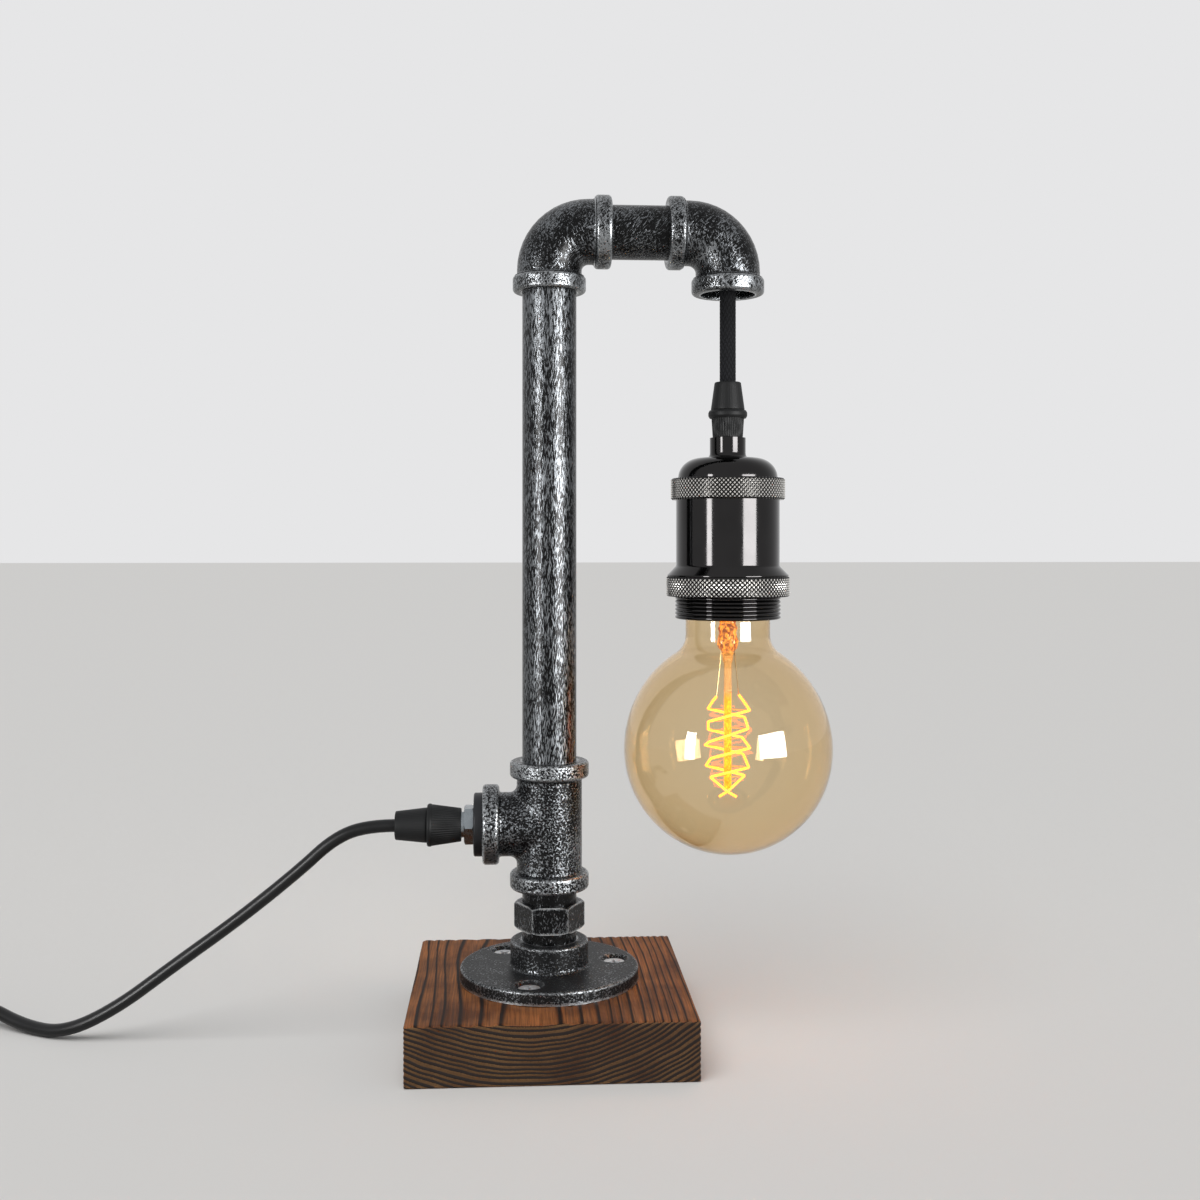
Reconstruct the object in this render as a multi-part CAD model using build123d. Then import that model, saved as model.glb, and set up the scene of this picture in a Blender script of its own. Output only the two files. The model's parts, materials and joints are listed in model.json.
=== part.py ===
from build123d import *
import math
import os

# Pipe table lamp: a wooden block carries a stand of half-inch pipe fittings, and a textile cable
# hangs a screw-base globe bulb in a turned metal holder from the end of the arm.
# Millimetres, +Z up. The origin is on the underside of the block, below the upright pipe.
# The arm points along +X, and the mains cord leaves the tee along -X.

# Fits shared by all pieces
fit_gap = 0.1
moving_gap = 0.3
cut_overrun = 1.0

# Wooden block
block_width = 106.0
block_depth = 106.0
block_height = 22.0
block_edge_round = 0.9

# Pipe: outside, wall, how far it goes into a fitting, and the shoulder that it meets there
pipe_diameter = 21.3
pipe_wall = 2.6
thread_engagement = 12.0
fitting_shoulder = 2.15

# Floor flange and its screws
flange_diameter = 70.0
flange_thickness = 5.0
flange_hub_wall = 4.65
flange_hub_height = 15.0
flange_rim_round = 0.9
flange_hub_fillet = 1.6
flange_hole_circle = 53.0
flange_hole_count = 3
flange_first_hole_angle = 12.0
countersink_mouth = 11.3
countersink_half_angle = 45.0
screw_head_diameter = 8.4
screw_shank_diameter = 4.2
screw_length = 16.0
screw_point_length = 4.0
screw_slot_width = 1.2
screw_slot_span = 4.8
screw_slot_depth = 1.7

# Hex nipple between flange and tee
nipple_low_neck = 4.5
nipple_hex_height = 10.5
nipple_high_neck = 5.2
nipple_hex_step = 1.35
nipple_wall = 3.15
hex_corner_chamfer = 1.3

# Tee
tee_half_length = 25.0
tee_outlet_reach = 26.2
tee_wall = 2.15
tee_outlet_wall = 1.75
tee_branch_fillet = 3.0
tee_bead_proud = 2.7
tee_bead_width = 6.5
bead_round = 1.4
bead_back_fillet = 1.0

# Upright pipe and arm nipple, as the lengths that show between fittings
upright_exposed = 183.8
arm_exposed = 22.2

# Elbows
elbow_face_distance = 24.3
elbow_bend_radius = 15.6
elbow_wall = 2.1
elbow_bead_proud = 1.65
elbow_bead_width = 6.5

# Mains entry: bush, lock nut and threaded tube
bush_head_overhang = 1.65
bush_head_thickness = 3.4
bush_shank_length = 10.0
bush_edge_round = 0.7
tube_diameter = 10.0
tube_bore = 7.2
locknut_across_flats = 14.0
locknut_thickness = 3.7
locknut_corner_chamfer = 0.8
tube_shows = 1.2

# Cord grips: sleeve, collar and cone
grip_tube_socket = 6.0
grip_thread_diameter = 9.0
grip_thread_length = 3.0
grip_edge_round = 0.6
mains_grip_seat_diameter = 12.9
mains_grip_sleeve_diameter = 16.0
mains_grip_sleeve_length = 11.3
mains_grip_collar_diameter = 16.6
mains_grip_collar_length = 1.9
mains_grip_cone_diameter = 13.7
mains_grip_mouth_diameter = 11.0
mains_grip_cone_length = 12.5
holder_grip_seat_diameter = 11.9
holder_grip_sleeve_diameter = 12.9
holder_grip_sleeve_length = 7.8
holder_grip_collar_diameter = 15.4
holder_grip_collar_length = 3.1
holder_grip_cone_diameter = 13.5
holder_grip_mouth_diameter = 10.4
holder_grip_cone_length = 11.2

# Textile cable of the pendant, with the two bends it swings about
cable_diameter = 6.4
cable_drop = 34.6
cable_elbow_bend = 12.0
side_swing_above_mouth = 7.0
swing_spacing = 11.0
cable_end_in_cap = 4.5

# Cores and splices inside the pipes
core_diameter = 1.9
core_spacing = 3.2
core_bend = 7.0
sheath_end_from_run = 14.0
splice_diameter = 3.0
splice_length = 14.0
first_splice_height = 30.0
second_splice_height = 49.0
cable_end_height = 74.0

# Lampholder cap
cap_neck_diameter = 14.2
cap_neck_height = 6.0
cap_neck_foot_diameter = 18.4
cap_neck_fillet = 1.6
cap_dome_inset = 2.95
cap_dome_height = 10.1
cap_dome_mid_radius_share = 0.72
cap_dome_mid_height_share = 0.80
cap_band_overhang = 2.15
cap_band_height = 8.5
cap_band_bevel = 0.7
cap_roof = 2.0

# Lampholder shell, with the thread for the shade ring at its mouth
shell_length = 26.1
shell_wall = 1.5
shell_spigot_step = 0.55
shell_spigot_height = 7.0
shell_flare_overhang = 3.5
shell_flare_height = 4.2
shell_thread_proud = 0.4
shell_thread_depth = 0.55
shell_thread_pitch = 1.5
shell_thread_free = 8.9
shell_lip_play = 1.1
shell_lip_overhang = 1.2
shell_lip_height = 2.0
ring_overhang = 0.5
ring_height = 7.8
ring_bevel = 0.6

# Inside the lampholder
insert_length = 41.0
insert_floor = 15.0
insert_bore = 29.0
insert_wire_hole = 3.0
sleeve_wall = 0.6
sleeve_length = 20.0
contact_plate_diameter = 9.0
contact_plate_thickness = 0.6
contact_rivet_diameter = 3.0
terminal_width = 6.0
terminal_height = 5.0
terminal_spacing = 18.0
terminal_screw_diameter = 3.0
terminal_screw_head = 4.6
terminal_screw_head_height = 1.8

# Bulb
bulb_diameter = 82.4
bulb_centre_below_mouth = 51.7
bulb_shoulder_radius = 45.6
bulb_neck_diameter = 33.4
bulb_neck_fillet = 8.5
bulb_neck_above_mouth = 1.0
bulb_glass_wall = 0.9
bulb_cap_diameter = 26.2
bulb_cap_root = 24.4
bulb_cap_wall = 0.5
bulb_cap_skirt = 4.2
bulb_cap_pitch = 3.629
bulb_cap_turns = 4
bulb_cap_thread_round = 0.7
bulb_cap_height = 19.5
bulb_insulator_height = 3.6
bulb_insulator_top = 11.0
bulb_contact_diameter = 9.4
bulb_contact_height = 1.7

# Inside the bulb
stem_diameter = 8.6
stem_below_mouth = 13.2
stem_flare_height = 4.5
stem_foot_round = 1.6
rod_diameter = 2.4
rod_below_filament = 2.0
lead_wire_diameter = 0.5
lead_wire_spacing = 4.4
filament_wire = 0.6
filament_half_width = 8.2
filament_half_depth = 4.6
filament_half_turns = 5
filament_cross_drop = 1.6
filament_side_drop = 5.2
filament_below_mouth = 29.5
filament_tip_drop = 5.4
filament_corner_round = 0.9
support_wire = 0.4

# Mains cord: its route from the grip's mouth to the in-line switch, as chosen points
cord_diameter = 5.0
cord_play = 0.2
cord_run_share = 0.45
cord_route = [
    (-72.0, 0.0, 82.2),
    (-84.5, 0.0, 77.0),
    (-97.0, 0.0, 65.4),
    (-120.0, 0.0, 47.0),
    (-146.0, 0.0, 28.6),
    (-167.0, 0.5, 13.0),
    (-188.0, 3.5, 2.6),
    (-207.0, 13.0, 2.6),
]
cord_straight_into_switch = 13.0

# In-line switch on the cord
switch_end_x = -240.0
switch_axis_y = 24.0
switch_length = 62.0
switch_width = 28.0
switch_height = 17.0
switch_corner = 9.0
switch_wall = 2.0
switch_edge_round = 1.5
switch_cord_entry = 9.0
rocker_length = 15.0
rocker_width = 11.2
rocker_pivot_height = 11.5
rocker_depth = 4.0
rocker_end_height = 6.1
rocker_ridge_height = 7.2
rocker_tilt = 8.0
rocker_window_gap = 1.3
rocker_pin_diameter = 3.0
rocker_pin_play = 0.06
rocker_post_thickness = 2.6
rocker_post_length = 7.0
rocker_post_rise = 1.7
switch_boss_diameter = 6.0
switch_boss_x = 19.0
switch_boss_y = 8.0
switch_screw_diameter = 2.6
switch_screw_head = 5.0
switch_screw_head_height = 1.6
switch_screw_length = 10.0
switch_terminal_x = 15.0
switch_terminal_length = 6.0
switch_terminal_width = 8.0
switch_terminal_height = 4.5

# Put-away coil: the cord spirals in on the lower layer, climbs, and spirals out on the upper one
coil_inner_radius = 19.0
coil_turn_pitch = 6.5
coil_half_turns_a_layer = 7
coil_stand_off = 37.0
coil_tail = 30.0
tie_width = 8.0
tie_thickness = 0.8
tie_slack = 0.9
tie_corner = 2.4

# Plug
plug_width = 35.3
plug_back_width = 17.0
plug_thickness = 13.8
plug_length = 36.0
plug_face_depth = 13.0
plug_corner = 3.0
plug_edge_round = 1.6
plug_relief_length = 25.0
plug_relief_base = 10.6
plug_relief_mouth = 7.4
plug_cord_entry = 8.0
pin_diameter = 4.0
pin_length = 19.0
pin_spacing = 18.6
pin_seat = 8.0
pin_tip_round = 1.6

# Widths of the fittings, from the pipe
pipe_bore = pipe_diameter - 2 * pipe_wall
fitting_bore = pipe_diameter - 2 * fitting_shoulder
socket_diameter = pipe_diameter + 2 * fit_gap
flange_hub_diameter = pipe_diameter + 2 * flange_hub_wall
nipple_hex_across_flats = pipe_diameter + 2 * nipple_hex_step
nipple_bore = pipe_diameter - 2 * nipple_wall
tee_body_diameter = pipe_diameter + 2 * tee_wall
tee_outlet_diameter = pipe_diameter + 2 * tee_outlet_wall
tee_bead_diameter = tee_body_diameter + 2 * tee_bead_proud
elbow_body_diameter = pipe_diameter + 2 * elbow_wall
elbow_bead_diameter = elbow_body_diameter + 2 * elbow_bead_proud
bush_head_diameter = pipe_diameter + 2 * bush_head_overhang
tube_hole = tube_diameter + 2 * fit_gap

# Widths of the lampholder, outwards from the bulb's neck
shell_lip_bore = bulb_neck_diameter + 2 * shell_lip_play
shell_bore = shell_lip_bore + 2 * shell_lip_overhang
shell_diameter = shell_bore + 2 * shell_wall
shell_spigot_diameter = shell_diameter - 2 * shell_spigot_step
shell_thread_diameter = shell_diameter + 2 * shell_thread_proud
shell_flare_diameter = shell_diameter + 2 * shell_flare_overhang
ring_diameter = shell_flare_diameter + 2 * ring_overhang
cap_band_diameter = shell_diameter + 2 * cap_band_overhang
cap_dome_diameter = cap_band_diameter - 2 * cap_dome_inset

# Heights up the stand
flange_top = block_height + flange_thickness
hub_top = block_height + flange_hub_height
hex_low = hub_top + nipple_low_neck
hex_high = hex_low + nipple_hex_height
tee_bottom = hex_high + nipple_high_neck
tee_axis = tee_bottom + tee_half_length
tee_top = tee_axis + tee_half_length
elbow_low = tee_top + upright_exposed
arm_axis = elbow_low + elbow_face_distance
arm_reach = 2 * elbow_face_distance + arm_exposed
mouth = arm_axis - elbow_face_distance

# Heights down the pendant
side_pivot = mouth + side_swing_above_mouth
fore_pivot = side_pivot - swing_spacing
grip_mouth = mouth - cable_drop
neck_top = grip_mouth - holder_grip_cone_length - holder_grip_collar_length - holder_grip_sleeve_length
dome_top = neck_top - cap_neck_height
band_top = dome_top - cap_dome_height
shell_top = band_top - cap_band_height
flare_top = shell_top - shell_length
thread_top = flare_top - shell_flare_height
holder_mouth = thread_top - ring_height - shell_thread_free
bulb_centre = holder_mouth - bulb_centre_below_mouth
insert_low = holder_mouth + 2 * shell_lip_height
insert_high = insert_low + insert_length
insert_ceiling = insert_high - insert_floor
bulb_contact_top = insert_ceiling - contact_plate_thickness - moving_gap
bulb_cap_top = bulb_contact_top - bulb_contact_height - bulb_insulator_height
bulb_cap_rim = bulb_cap_top - bulb_cap_height
bulb_neck_end = holder_mouth + bulb_neck_above_mouth

# Places along the mains cord
bush_face = -tee_outlet_reach - bush_head_thickness
grip_seat = bush_face - locknut_thickness - tube_shows
cord_exit = (grip_seat - mains_grip_sleeve_length - mains_grip_collar_length
             - mains_grip_cone_length)
switch_axis = switch_height / 2
switch_far_x = switch_end_x - switch_length
coil_outer_radius = coil_inner_radius + coil_half_turns_a_layer * coil_turn_pitch / 2
coil_x = switch_far_x - coil_stand_off
coil_y = switch_axis_y - coil_outer_radius
coil_low = tie_thickness + moving_gap + cord_diameter / 2
coil_high = coil_low + coil_turn_pitch
plug_axis = plug_thickness / 2
plug_y = coil_y - coil_outer_radius
plug_back_x = coil_x + coil_tail
plug_face_x = plug_back_x + plug_relief_length + plug_length

FROM_BASE = (Align.CENTER, Align.CENTER, Align.MIN)


def turned(*corners):
    """Solid of revolution about Z from corners (radius, height) or (radius, height, rounding)."""
    points = [corner[:2] for corner in corners]
    rounds = [corner[2] if len(corner) > 2 else 0 for corner in corners]
    if any(rounds):
        outline = FilletPolyline(*points, radius=rounds, close=True)
    else:
        outline = Polyline(*points, close=True)
    return revolve(Plane.XZ * make_face(outline), axis=Axis.Z)


def rod_between(start, end, diameter):
    """Round straight rod from one point to another."""
    way = Vector(*end) - Vector(*start)
    return extrude(Plane(start, z_dir=way) * Circle(diameter / 2), way.length)


def swept_tube(path, diameter):
    """Round tube along a smooth path."""
    section = Plane(path @ 0, z_dir=path % 0) * Circle(diameter / 2)
    return sweep(section, path=path)


def hexagon(across_flats, height, chamfer_size):
    """Hexagon prism on Z with its corners turned down at both ends."""
    radius = across_flats / 2
    corner = radius / math.cos(math.pi / 6)
    blank = extrude(RegularPolygon(radius, 6, major_radius=False), height)
    drop = chamfer_size * math.tan(math.pi / 6)
    end_radius = corner - chamfer_size
    return blank & turned((0, 0), (end_radius, 0), (corner, drop), (corner, height - drop),
                          (end_radius, height), (0, height))


def least_gap(points, diameter):
    """Least clear distance of a tube to itself, from points along its middle line."""
    lengths = [0]
    for a, b in zip(points, points[1:]):
        lengths.append(lengths[-1] + (b - a).length)
    apart = 3 * diameter
    least = math.inf
    for i, point in enumerate(points):
        for j in range(i + 1, len(points)):
            if lengths[j] - lengths[i] > apart:
                least = min(least, (points[j] - point).length)
    return least - diameter


def biarc(start, start_way, end, end_way):
    """Two tangent arcs from one point and direction to another."""
    span = end - start
    ways = start_way + end_way
    spread = 2 * (1 - start_way.dot(end_way))
    if spread < 1e-9:
        reach = span.dot(span) / (4 * span.dot(end_way))
    else:
        along = span.dot(ways)
        reach = (math.sqrt(along ** 2 + spread * span.dot(span)) - along) / spread
    middle = (start + end + (start_way - end_way) * reach) / 2
    middle_way = (end - end_way * reach) - (start + start_way * reach)
    return [Edge.make_tangent_arc(start, start_way, middle),
            Edge.make_tangent_arc(middle, middle_way, end)]


def screw_places():
    """Turns about the upright's axis to each screw of the flange."""
    step = 360 / flange_hole_count
    return [Rot(0, 0, flange_first_hole_angle + k * step) * Pos(flange_hole_circle / 2, 0, 0)
            for k in range(flange_hole_count)]


# Wooden base

def screw_head_top():
    """Height at which the screw's head lies in the flange's countersink."""
    sunk = (countersink_mouth - screw_head_diameter) / 2 / math.tan(math.radians(countersink_half_angle))
    return flange_top - sunk + fit_gap


def make_base_block():
    block = Pos(0, 0, block_height / 2) * Box(block_width, block_depth, block_height)
    block = fillet(block.edges(), block_edge_round)
    tip = screw_head_top() - screw_length
    radius = screw_shank_diameter / 2 + fit_gap
    pilot = turned((0, tip - fit_gap), (radius, tip + screw_point_length),
                   (radius, block_height + cut_overrun), (0, block_height + cut_overrun))
    for place in screw_places():
        block -= place * pilot
    return block


def make_floor_flange():
    flange = turned(
        (fitting_bore / 2, block_height),
        (flange_diameter / 2, block_height),
        (flange_diameter / 2, flange_top, flange_rim_round),
        (flange_hub_diameter / 2, flange_top, flange_hub_fillet),
        (flange_hub_diameter / 2, hub_top, flange_rim_round),
        (socket_diameter / 2, hub_top),
        (socket_diameter / 2, hub_top - thread_engagement),
        (fitting_bore / 2, hub_top - thread_engagement),
    )
    hole = screw_shank_diameter / 2 + 2 * fit_gap
    slope = math.tan(math.radians(countersink_half_angle))
    depth = (countersink_mouth / 2 - hole) / slope
    cutter = turned(
        (0, block_height - cut_overrun),
        (hole, block_height - cut_overrun),
        (hole, flange_top - depth),
        (countersink_mouth / 2 + cut_overrun * slope, flange_top + cut_overrun),
        (0, flange_top + cut_overrun),
    )
    for place in screw_places():
        flange -= place * cutter
    return flange


def make_flange_screws():
    top = screw_head_top()
    tip = top - screw_length
    slope = math.tan(math.radians(countersink_half_angle))
    shank = screw_shank_diameter / 2
    cone = (screw_head_diameter / 2 - shank) / slope
    screw = turned((0, tip), (shank, tip + screw_point_length), (shank, top - cone),
                   (screw_head_diameter / 2, top), (0, top))
    slot = Box(screw_slot_span, screw_slot_width, 2 * screw_slot_depth)
    screw -= Pos(0, 0, top) * (slot + Rot(0, 0, 90) * slot)
    return Compound([place * screw for place in screw_places()])


# Pipe stand

def pipe(low, high):
    """Upright length of pipe from one height to another."""
    return turned((pipe_bore / 2, low), (pipe_diameter / 2, low),
                  (pipe_diameter / 2, high), (pipe_bore / 2, high))


def bead(diameter, width, back):
    """Rolled collar of a fitting on Z, from its face at 0 back into the fitting."""
    return turned(
        (0, 0),
        (diameter / 2, 0, bead_round),
        (diameter / 2, width, bead_round),
        (back / 2, width, bead_back_fillet),
        (back / 2, width + 2 * bead_back_fillet),
        (0, width + 2 * bead_back_fillet),
    )


def make_hex_nipple():
    blank = turned(
        (nipple_bore / 2, hub_top - thread_engagement),
        (pipe_diameter / 2, hub_top - thread_engagement),
        (pipe_diameter / 2, tee_bottom + thread_engagement),
        (nipple_bore / 2, tee_bottom + thread_engagement),
    )
    hex_body = Pos(0, 0, hex_low) * hexagon(nipple_hex_across_flats, nipple_hex_height, hex_corner_chamfer)
    hex_body -= Pos(0, 0, hex_low) * Cylinder(nipple_bore / 2, 3 * nipple_hex_height)
    return blank + hex_body


def make_tee():
    run = Cylinder(tee_body_diameter / 2, 2 * tee_half_length)
    outlet = Rot(0, -90, 0) * Cylinder(tee_outlet_diameter / 2, tee_outlet_reach, align=FROM_BASE)
    body = run + outlet
    seam = [e for e in body.edges() if e.geom_type not in (GeomType.CIRCLE, GeomType.LINE)]
    body = fillet(seam, tee_branch_fillet)
    run_bead = bead(tee_bead_diameter, tee_bead_width, tee_body_diameter)
    outlet_bead = bead(tee_bead_diameter, tee_bead_width, tee_outlet_diameter)
    body += Pos(0, 0, -tee_half_length) * run_bead
    body += Pos(0, 0, tee_half_length) * Rot(180, 0, 0) * run_bead
    body += Pos(-tee_outlet_reach, 0, 0) * Rot(0, 90, 0) * outlet_bead
    socket = Cylinder(socket_diameter / 2, thread_engagement + cut_overrun, align=FROM_BASE)
    inset = tee_half_length - thread_engagement
    outlet_inset = tee_outlet_reach - thread_engagement
    body -= Cylinder(fitting_bore / 2, 2 * tee_half_length)
    body -= Rot(0, -90, 0) * Cylinder(fitting_bore / 2, tee_outlet_reach, align=FROM_BASE)
    body -= Pos(0, 0, inset) * socket
    body -= Pos(0, 0, -inset) * Rot(180, 0, 0) * socket
    body -= Pos(-outlet_inset, 0, 0) * Rot(0, -90, 0) * socket
    return Pos(0, 0, tee_axis) * body


def quarter_bend(bend, diameter):
    """Quarter of a ring whose ends lie on the -Z and +X axes at the bend's radius."""
    start = Pos(0, 0, -bend) * Circle(diameter / 2)
    return revolve(start, axis=Axis((bend, 0, -bend), (0, 1, 0)), revolution_arc=90)


def elbow():
    """Elbow about the crossing of its two axes, open towards -Z and +X."""
    face = elbow_face_distance
    collar = bead(elbow_bead_diameter, elbow_bead_width, elbow_body_diameter)
    leg = Cylinder(elbow_body_diameter / 2, face - elbow_bend_radius, align=FROM_BASE)
    body = quarter_bend(elbow_bend_radius, elbow_body_diameter)
    inset = face - thread_engagement
    hollow = quarter_bend(inset, fitting_bore)
    socket = Cylinder(socket_diameter / 2, thread_engagement + cut_overrun, align=FROM_BASE)
    for way in (Rot(180, 0, 0), Rot(0, 90, 0)):
        body += way * Pos(0, 0, elbow_bend_radius) * leg
        body += way * Pos(0, 0, face) * Rot(180, 0, 0) * collar
        hollow += way * Pos(0, 0, inset) * socket
    return body - hollow


def make_upright_pipe():
    return pipe(tee_top - thread_engagement, elbow_low + thread_engagement)


def make_upright_elbow():
    return Pos(0, 0, arm_axis) * elbow()


def make_arm_nipple():
    start = elbow_face_distance - thread_engagement
    return Pos(0, 0, arm_axis) * Rot(0, 90, 0) * pipe(start, arm_reach - start)


def make_outlet_elbow():
    return Pos(arm_reach, 0, arm_axis) * Rot(0, 0, 180) * elbow()


# Mains entry, built on Z away from the tee and then turned to point along -X

def outward(part, x):
    """Turn a part that points along +Z to point along -X from a place on the tee's outlet."""
    return Pos(x, 0, tee_axis) * Rot(0, -90, 0) * part


def make_outlet_bush():
    bush = turned(
        (tube_hole / 2, -bush_shank_length),
        (pipe_diameter / 2, -bush_shank_length),
        (pipe_diameter / 2, 0),
        (bush_head_diameter / 2, 0),
        (bush_head_diameter / 2, bush_head_thickness, bush_edge_round),
        (tube_hole / 2, bush_head_thickness),
    )
    return outward(bush, -tee_outlet_reach)


def make_gland_locknut():
    nut = Rot(0, 0, 90) * hexagon(locknut_across_flats, locknut_thickness, locknut_corner_chamfer)
    nut -= Cylinder(tube_hole / 2, 3 * locknut_thickness)
    return outward(nut, bush_face)


def threaded_tube(length):
    """Hollow threaded tube standing on Z."""
    return turned((tube_bore / 2, 0), (tube_diameter / 2, 0),
                  (tube_diameter / 2, length), (tube_bore / 2, length))


def make_gland_tube():
    inner_end = -tee_outlet_reach + bush_shank_length
    return outward(threaded_tube(inner_end - grip_seat + grip_tube_socket), inner_end)


def grip_body(seat, sleeve, sleeve_length, collar, collar_length, cord):
    """Sleeve and collar of a cord grip on Z, with a socket for the tube and one for the cone's thread."""
    high = sleeve_length + collar_length
    hole = cord / 2 + cord_play
    recess = grip_thread_diameter / 2 + fit_gap
    return turned(
        (tube_hole / 2, 0),
        (seat / 2, 0),
        (sleeve / 2, sleeve_length),
        (collar / 2, sleeve_length),
        (collar / 2, high, grip_edge_round),
        (recess, high),
        (recess, high - grip_thread_length),
        (hole, high - grip_thread_length),
        (hole, grip_tube_socket),
        (tube_hole / 2, grip_tube_socket),
    )


def grip_nut(cone, mouth_diameter, length, cord):
    """Cone of a cord grip on Z, with the thread that goes into the collar."""
    hole = cord / 2 + cord_play
    return turned(
        (hole, -grip_thread_length),
        (grip_thread_diameter / 2, -grip_thread_length),
        (grip_thread_diameter / 2, 0),
        (cone / 2, 0, grip_edge_round),
        (mouth_diameter / 2, length, grip_edge_round),
        (hole, length),
    )


def make_cord_grip_body():
    body = grip_body(mains_grip_seat_diameter, mains_grip_sleeve_diameter, mains_grip_sleeve_length,
                     mains_grip_collar_diameter, mains_grip_collar_length, cord_diameter)
    return outward(body, grip_seat)


def make_cord_grip_nut():
    nut = grip_nut(mains_grip_cone_diameter, mains_grip_mouth_diameter, mains_grip_cone_length, cord_diameter)
    return outward(nut, grip_seat - mains_grip_sleeve_length - mains_grip_collar_length)


# Wiring inside the stand

def core_sides():
    """Distances of the two cores from the middle of the cable."""
    return (-core_spacing / 2, core_spacing / 2)


def splice_lows():
    """Heights at which the two splices begin."""
    return (tee_axis + first_splice_height, tee_axis + second_splice_height)


def make_mains_sheath_end():
    return rod_between((cord_exit, 0, tee_axis), (-sheath_end_from_run, 0, tee_axis), cord_diameter)


def make_supply_cores():
    cores = []
    for side, low in zip(core_sides(), splice_lows()):
        path = FilletPolyline((-sheath_end_from_run, side, tee_axis), (0, side, tee_axis),
                              (0, side, low), radius=core_bend)
        cores.append(swept_tube(path, core_diameter))
    return Compound(cores)


def make_butt_splices():
    return Compound([rod_between((0, side, low), (0, side, low + splice_length), splice_diameter)
                     for side, low in zip(core_sides(), splice_lows())])


def make_cable_cores():
    end = tee_axis + cable_end_height
    return Compound([rod_between((0, side, low + splice_length), (0, side, end), core_diameter)
                     for side, low in zip(core_sides(), splice_lows())])


def make_cable_in_pipe():
    fixed_end = side_pivot + cable_diameter / 2 + moving_gap
    path = FilletPolyline((0, 0, tee_axis + cable_end_height), (0, 0, arm_axis), (arm_reach, 0, arm_axis),
                          (arm_reach, 0, fixed_end), radius=cable_elbow_bend)
    return swept_tube(path, cable_diameter)


# Pendant cable: each swinging length has a round head at its pivot

def hanging_cable(pivot, low):
    """Length of cable that hangs from a round head at its pivot."""
    radius = cable_diameter / 2
    length = pivot - low
    cable = Sphere(radius) + Rot(180, 0, 0) * Cylinder(radius, length, align=FROM_BASE)
    return Pos(arm_reach, 0, pivot) * cable


def make_cable_upper():
    return hanging_cable(side_pivot, fore_pivot + cable_diameter / 2 + moving_gap)


def make_cable_lower():
    return hanging_cable(fore_pivot, dome_top - cap_roof - cable_end_in_cap)


# Lampholder

def hung(part, height=0):
    """Place a part of the pendant on the pendant's axis."""
    return Pos(arm_reach, 0, height) * part


def make_holder_grip_nut():
    nut = grip_nut(holder_grip_cone_diameter, holder_grip_mouth_diameter, holder_grip_cone_length,
                   cable_diameter)
    return hung(nut, neck_top + holder_grip_sleeve_length + holder_grip_collar_length)


def make_holder_grip_body():
    body = grip_body(holder_grip_seat_diameter, holder_grip_sleeve_diameter, holder_grip_sleeve_length,
                     holder_grip_collar_diameter, holder_grip_collar_length, cable_diameter)
    return hung(body, neck_top)


def make_holder_tube():
    low = dome_top - cap_roof
    return hung(threaded_tube(neck_top - low + grip_tube_socket), low)


def make_holder_cap():
    spigot_top = shell_top + shell_spigot_height
    band = cap_band_diameter / 2
    dome = cap_dome_diameter / 2
    foot = cap_neck_foot_diameter / 2
    neck = cap_neck_diameter / 2
    seat = shell_spigot_diameter / 2 + fit_gap
    inside = shell_bore / 2
    middle = (foot + (dome - foot) * cap_dome_mid_radius_share,
              band_top + (dome_top - band_top) * cap_dome_mid_height_share)
    outline = [
        Polyline((tube_hole / 2, neck_top), (neck, neck_top), (neck, dome_top + cap_neck_fillet)),
        RadiusArc((neck, dome_top + cap_neck_fillet), (foot, dome_top), foot - neck + cap_neck_fillet),
        ThreePointArc((foot, dome_top), middle, (dome, band_top)),
        Polyline((dome, band_top), (band - cap_band_bevel, band_top), (band, band_top - cap_band_bevel),
                 (band, shell_top + cap_band_bevel), (band - cap_band_bevel, shell_top), (seat, shell_top),
                 (seat, spigot_top), (inside, spigot_top), (foot, dome_top - cap_roof),
                 (tube_hole / 2, dome_top - cap_roof), (tube_hole / 2, neck_top)),
    ]
    face = make_face([edge for line in outline for edge in line.edges()])
    return hung(revolve(Plane.XZ * face, axis=Axis.Z))


def thread_corners(crest, root, low, high, pitch):
    """Corners of a thread's ridges from one height up to another."""
    count = max(1, int((high - low) / pitch))
    step = (high - low) / count
    corners = []
    for k in range(count):
        base = low + k * step
        corners += [(root, base), (crest, base + step / 4), (crest, base + step / 2),
                    (root, base + 3 * step / 4)]
    return corners


def make_holder_shell():
    crest = shell_thread_diameter / 2
    ridges = thread_corners(crest, crest - shell_thread_depth, holder_mouth, thread_top, shell_thread_pitch)
    spigot_top = shell_top + shell_spigot_height
    lip = shell_lip_bore / 2
    inside = shell_bore / 2
    return hung(turned(
        (lip, holder_mouth),
        *ridges,
        (crest - shell_thread_depth, thread_top),
        (shell_flare_diameter / 2, thread_top),
        (shell_diameter / 2, flare_top),
        (shell_diameter / 2, shell_top),
        (shell_spigot_diameter / 2, shell_top),
        (shell_spigot_diameter / 2, spigot_top),
        (inside, spigot_top),
        (inside, insert_low),
        (lip, insert_low),
    ))


def make_shade_ring():
    outside = ring_diameter / 2
    inside = shell_thread_diameter / 2 + moving_gap
    low = thread_top - ring_height
    return hung(turned(
        (inside, low),
        (outside - ring_bevel, low),
        (outside, low + ring_bevel),
        (outside, thread_top - ring_bevel),
        (outside - ring_bevel, thread_top),
        (inside, thread_top),
    ))


def terminal_places():
    """Places of the two terminals on top of the porcelain insert."""
    return [Pos(0, side * terminal_spacing / 2, insert_high) for side in (-1, 1)]


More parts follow.
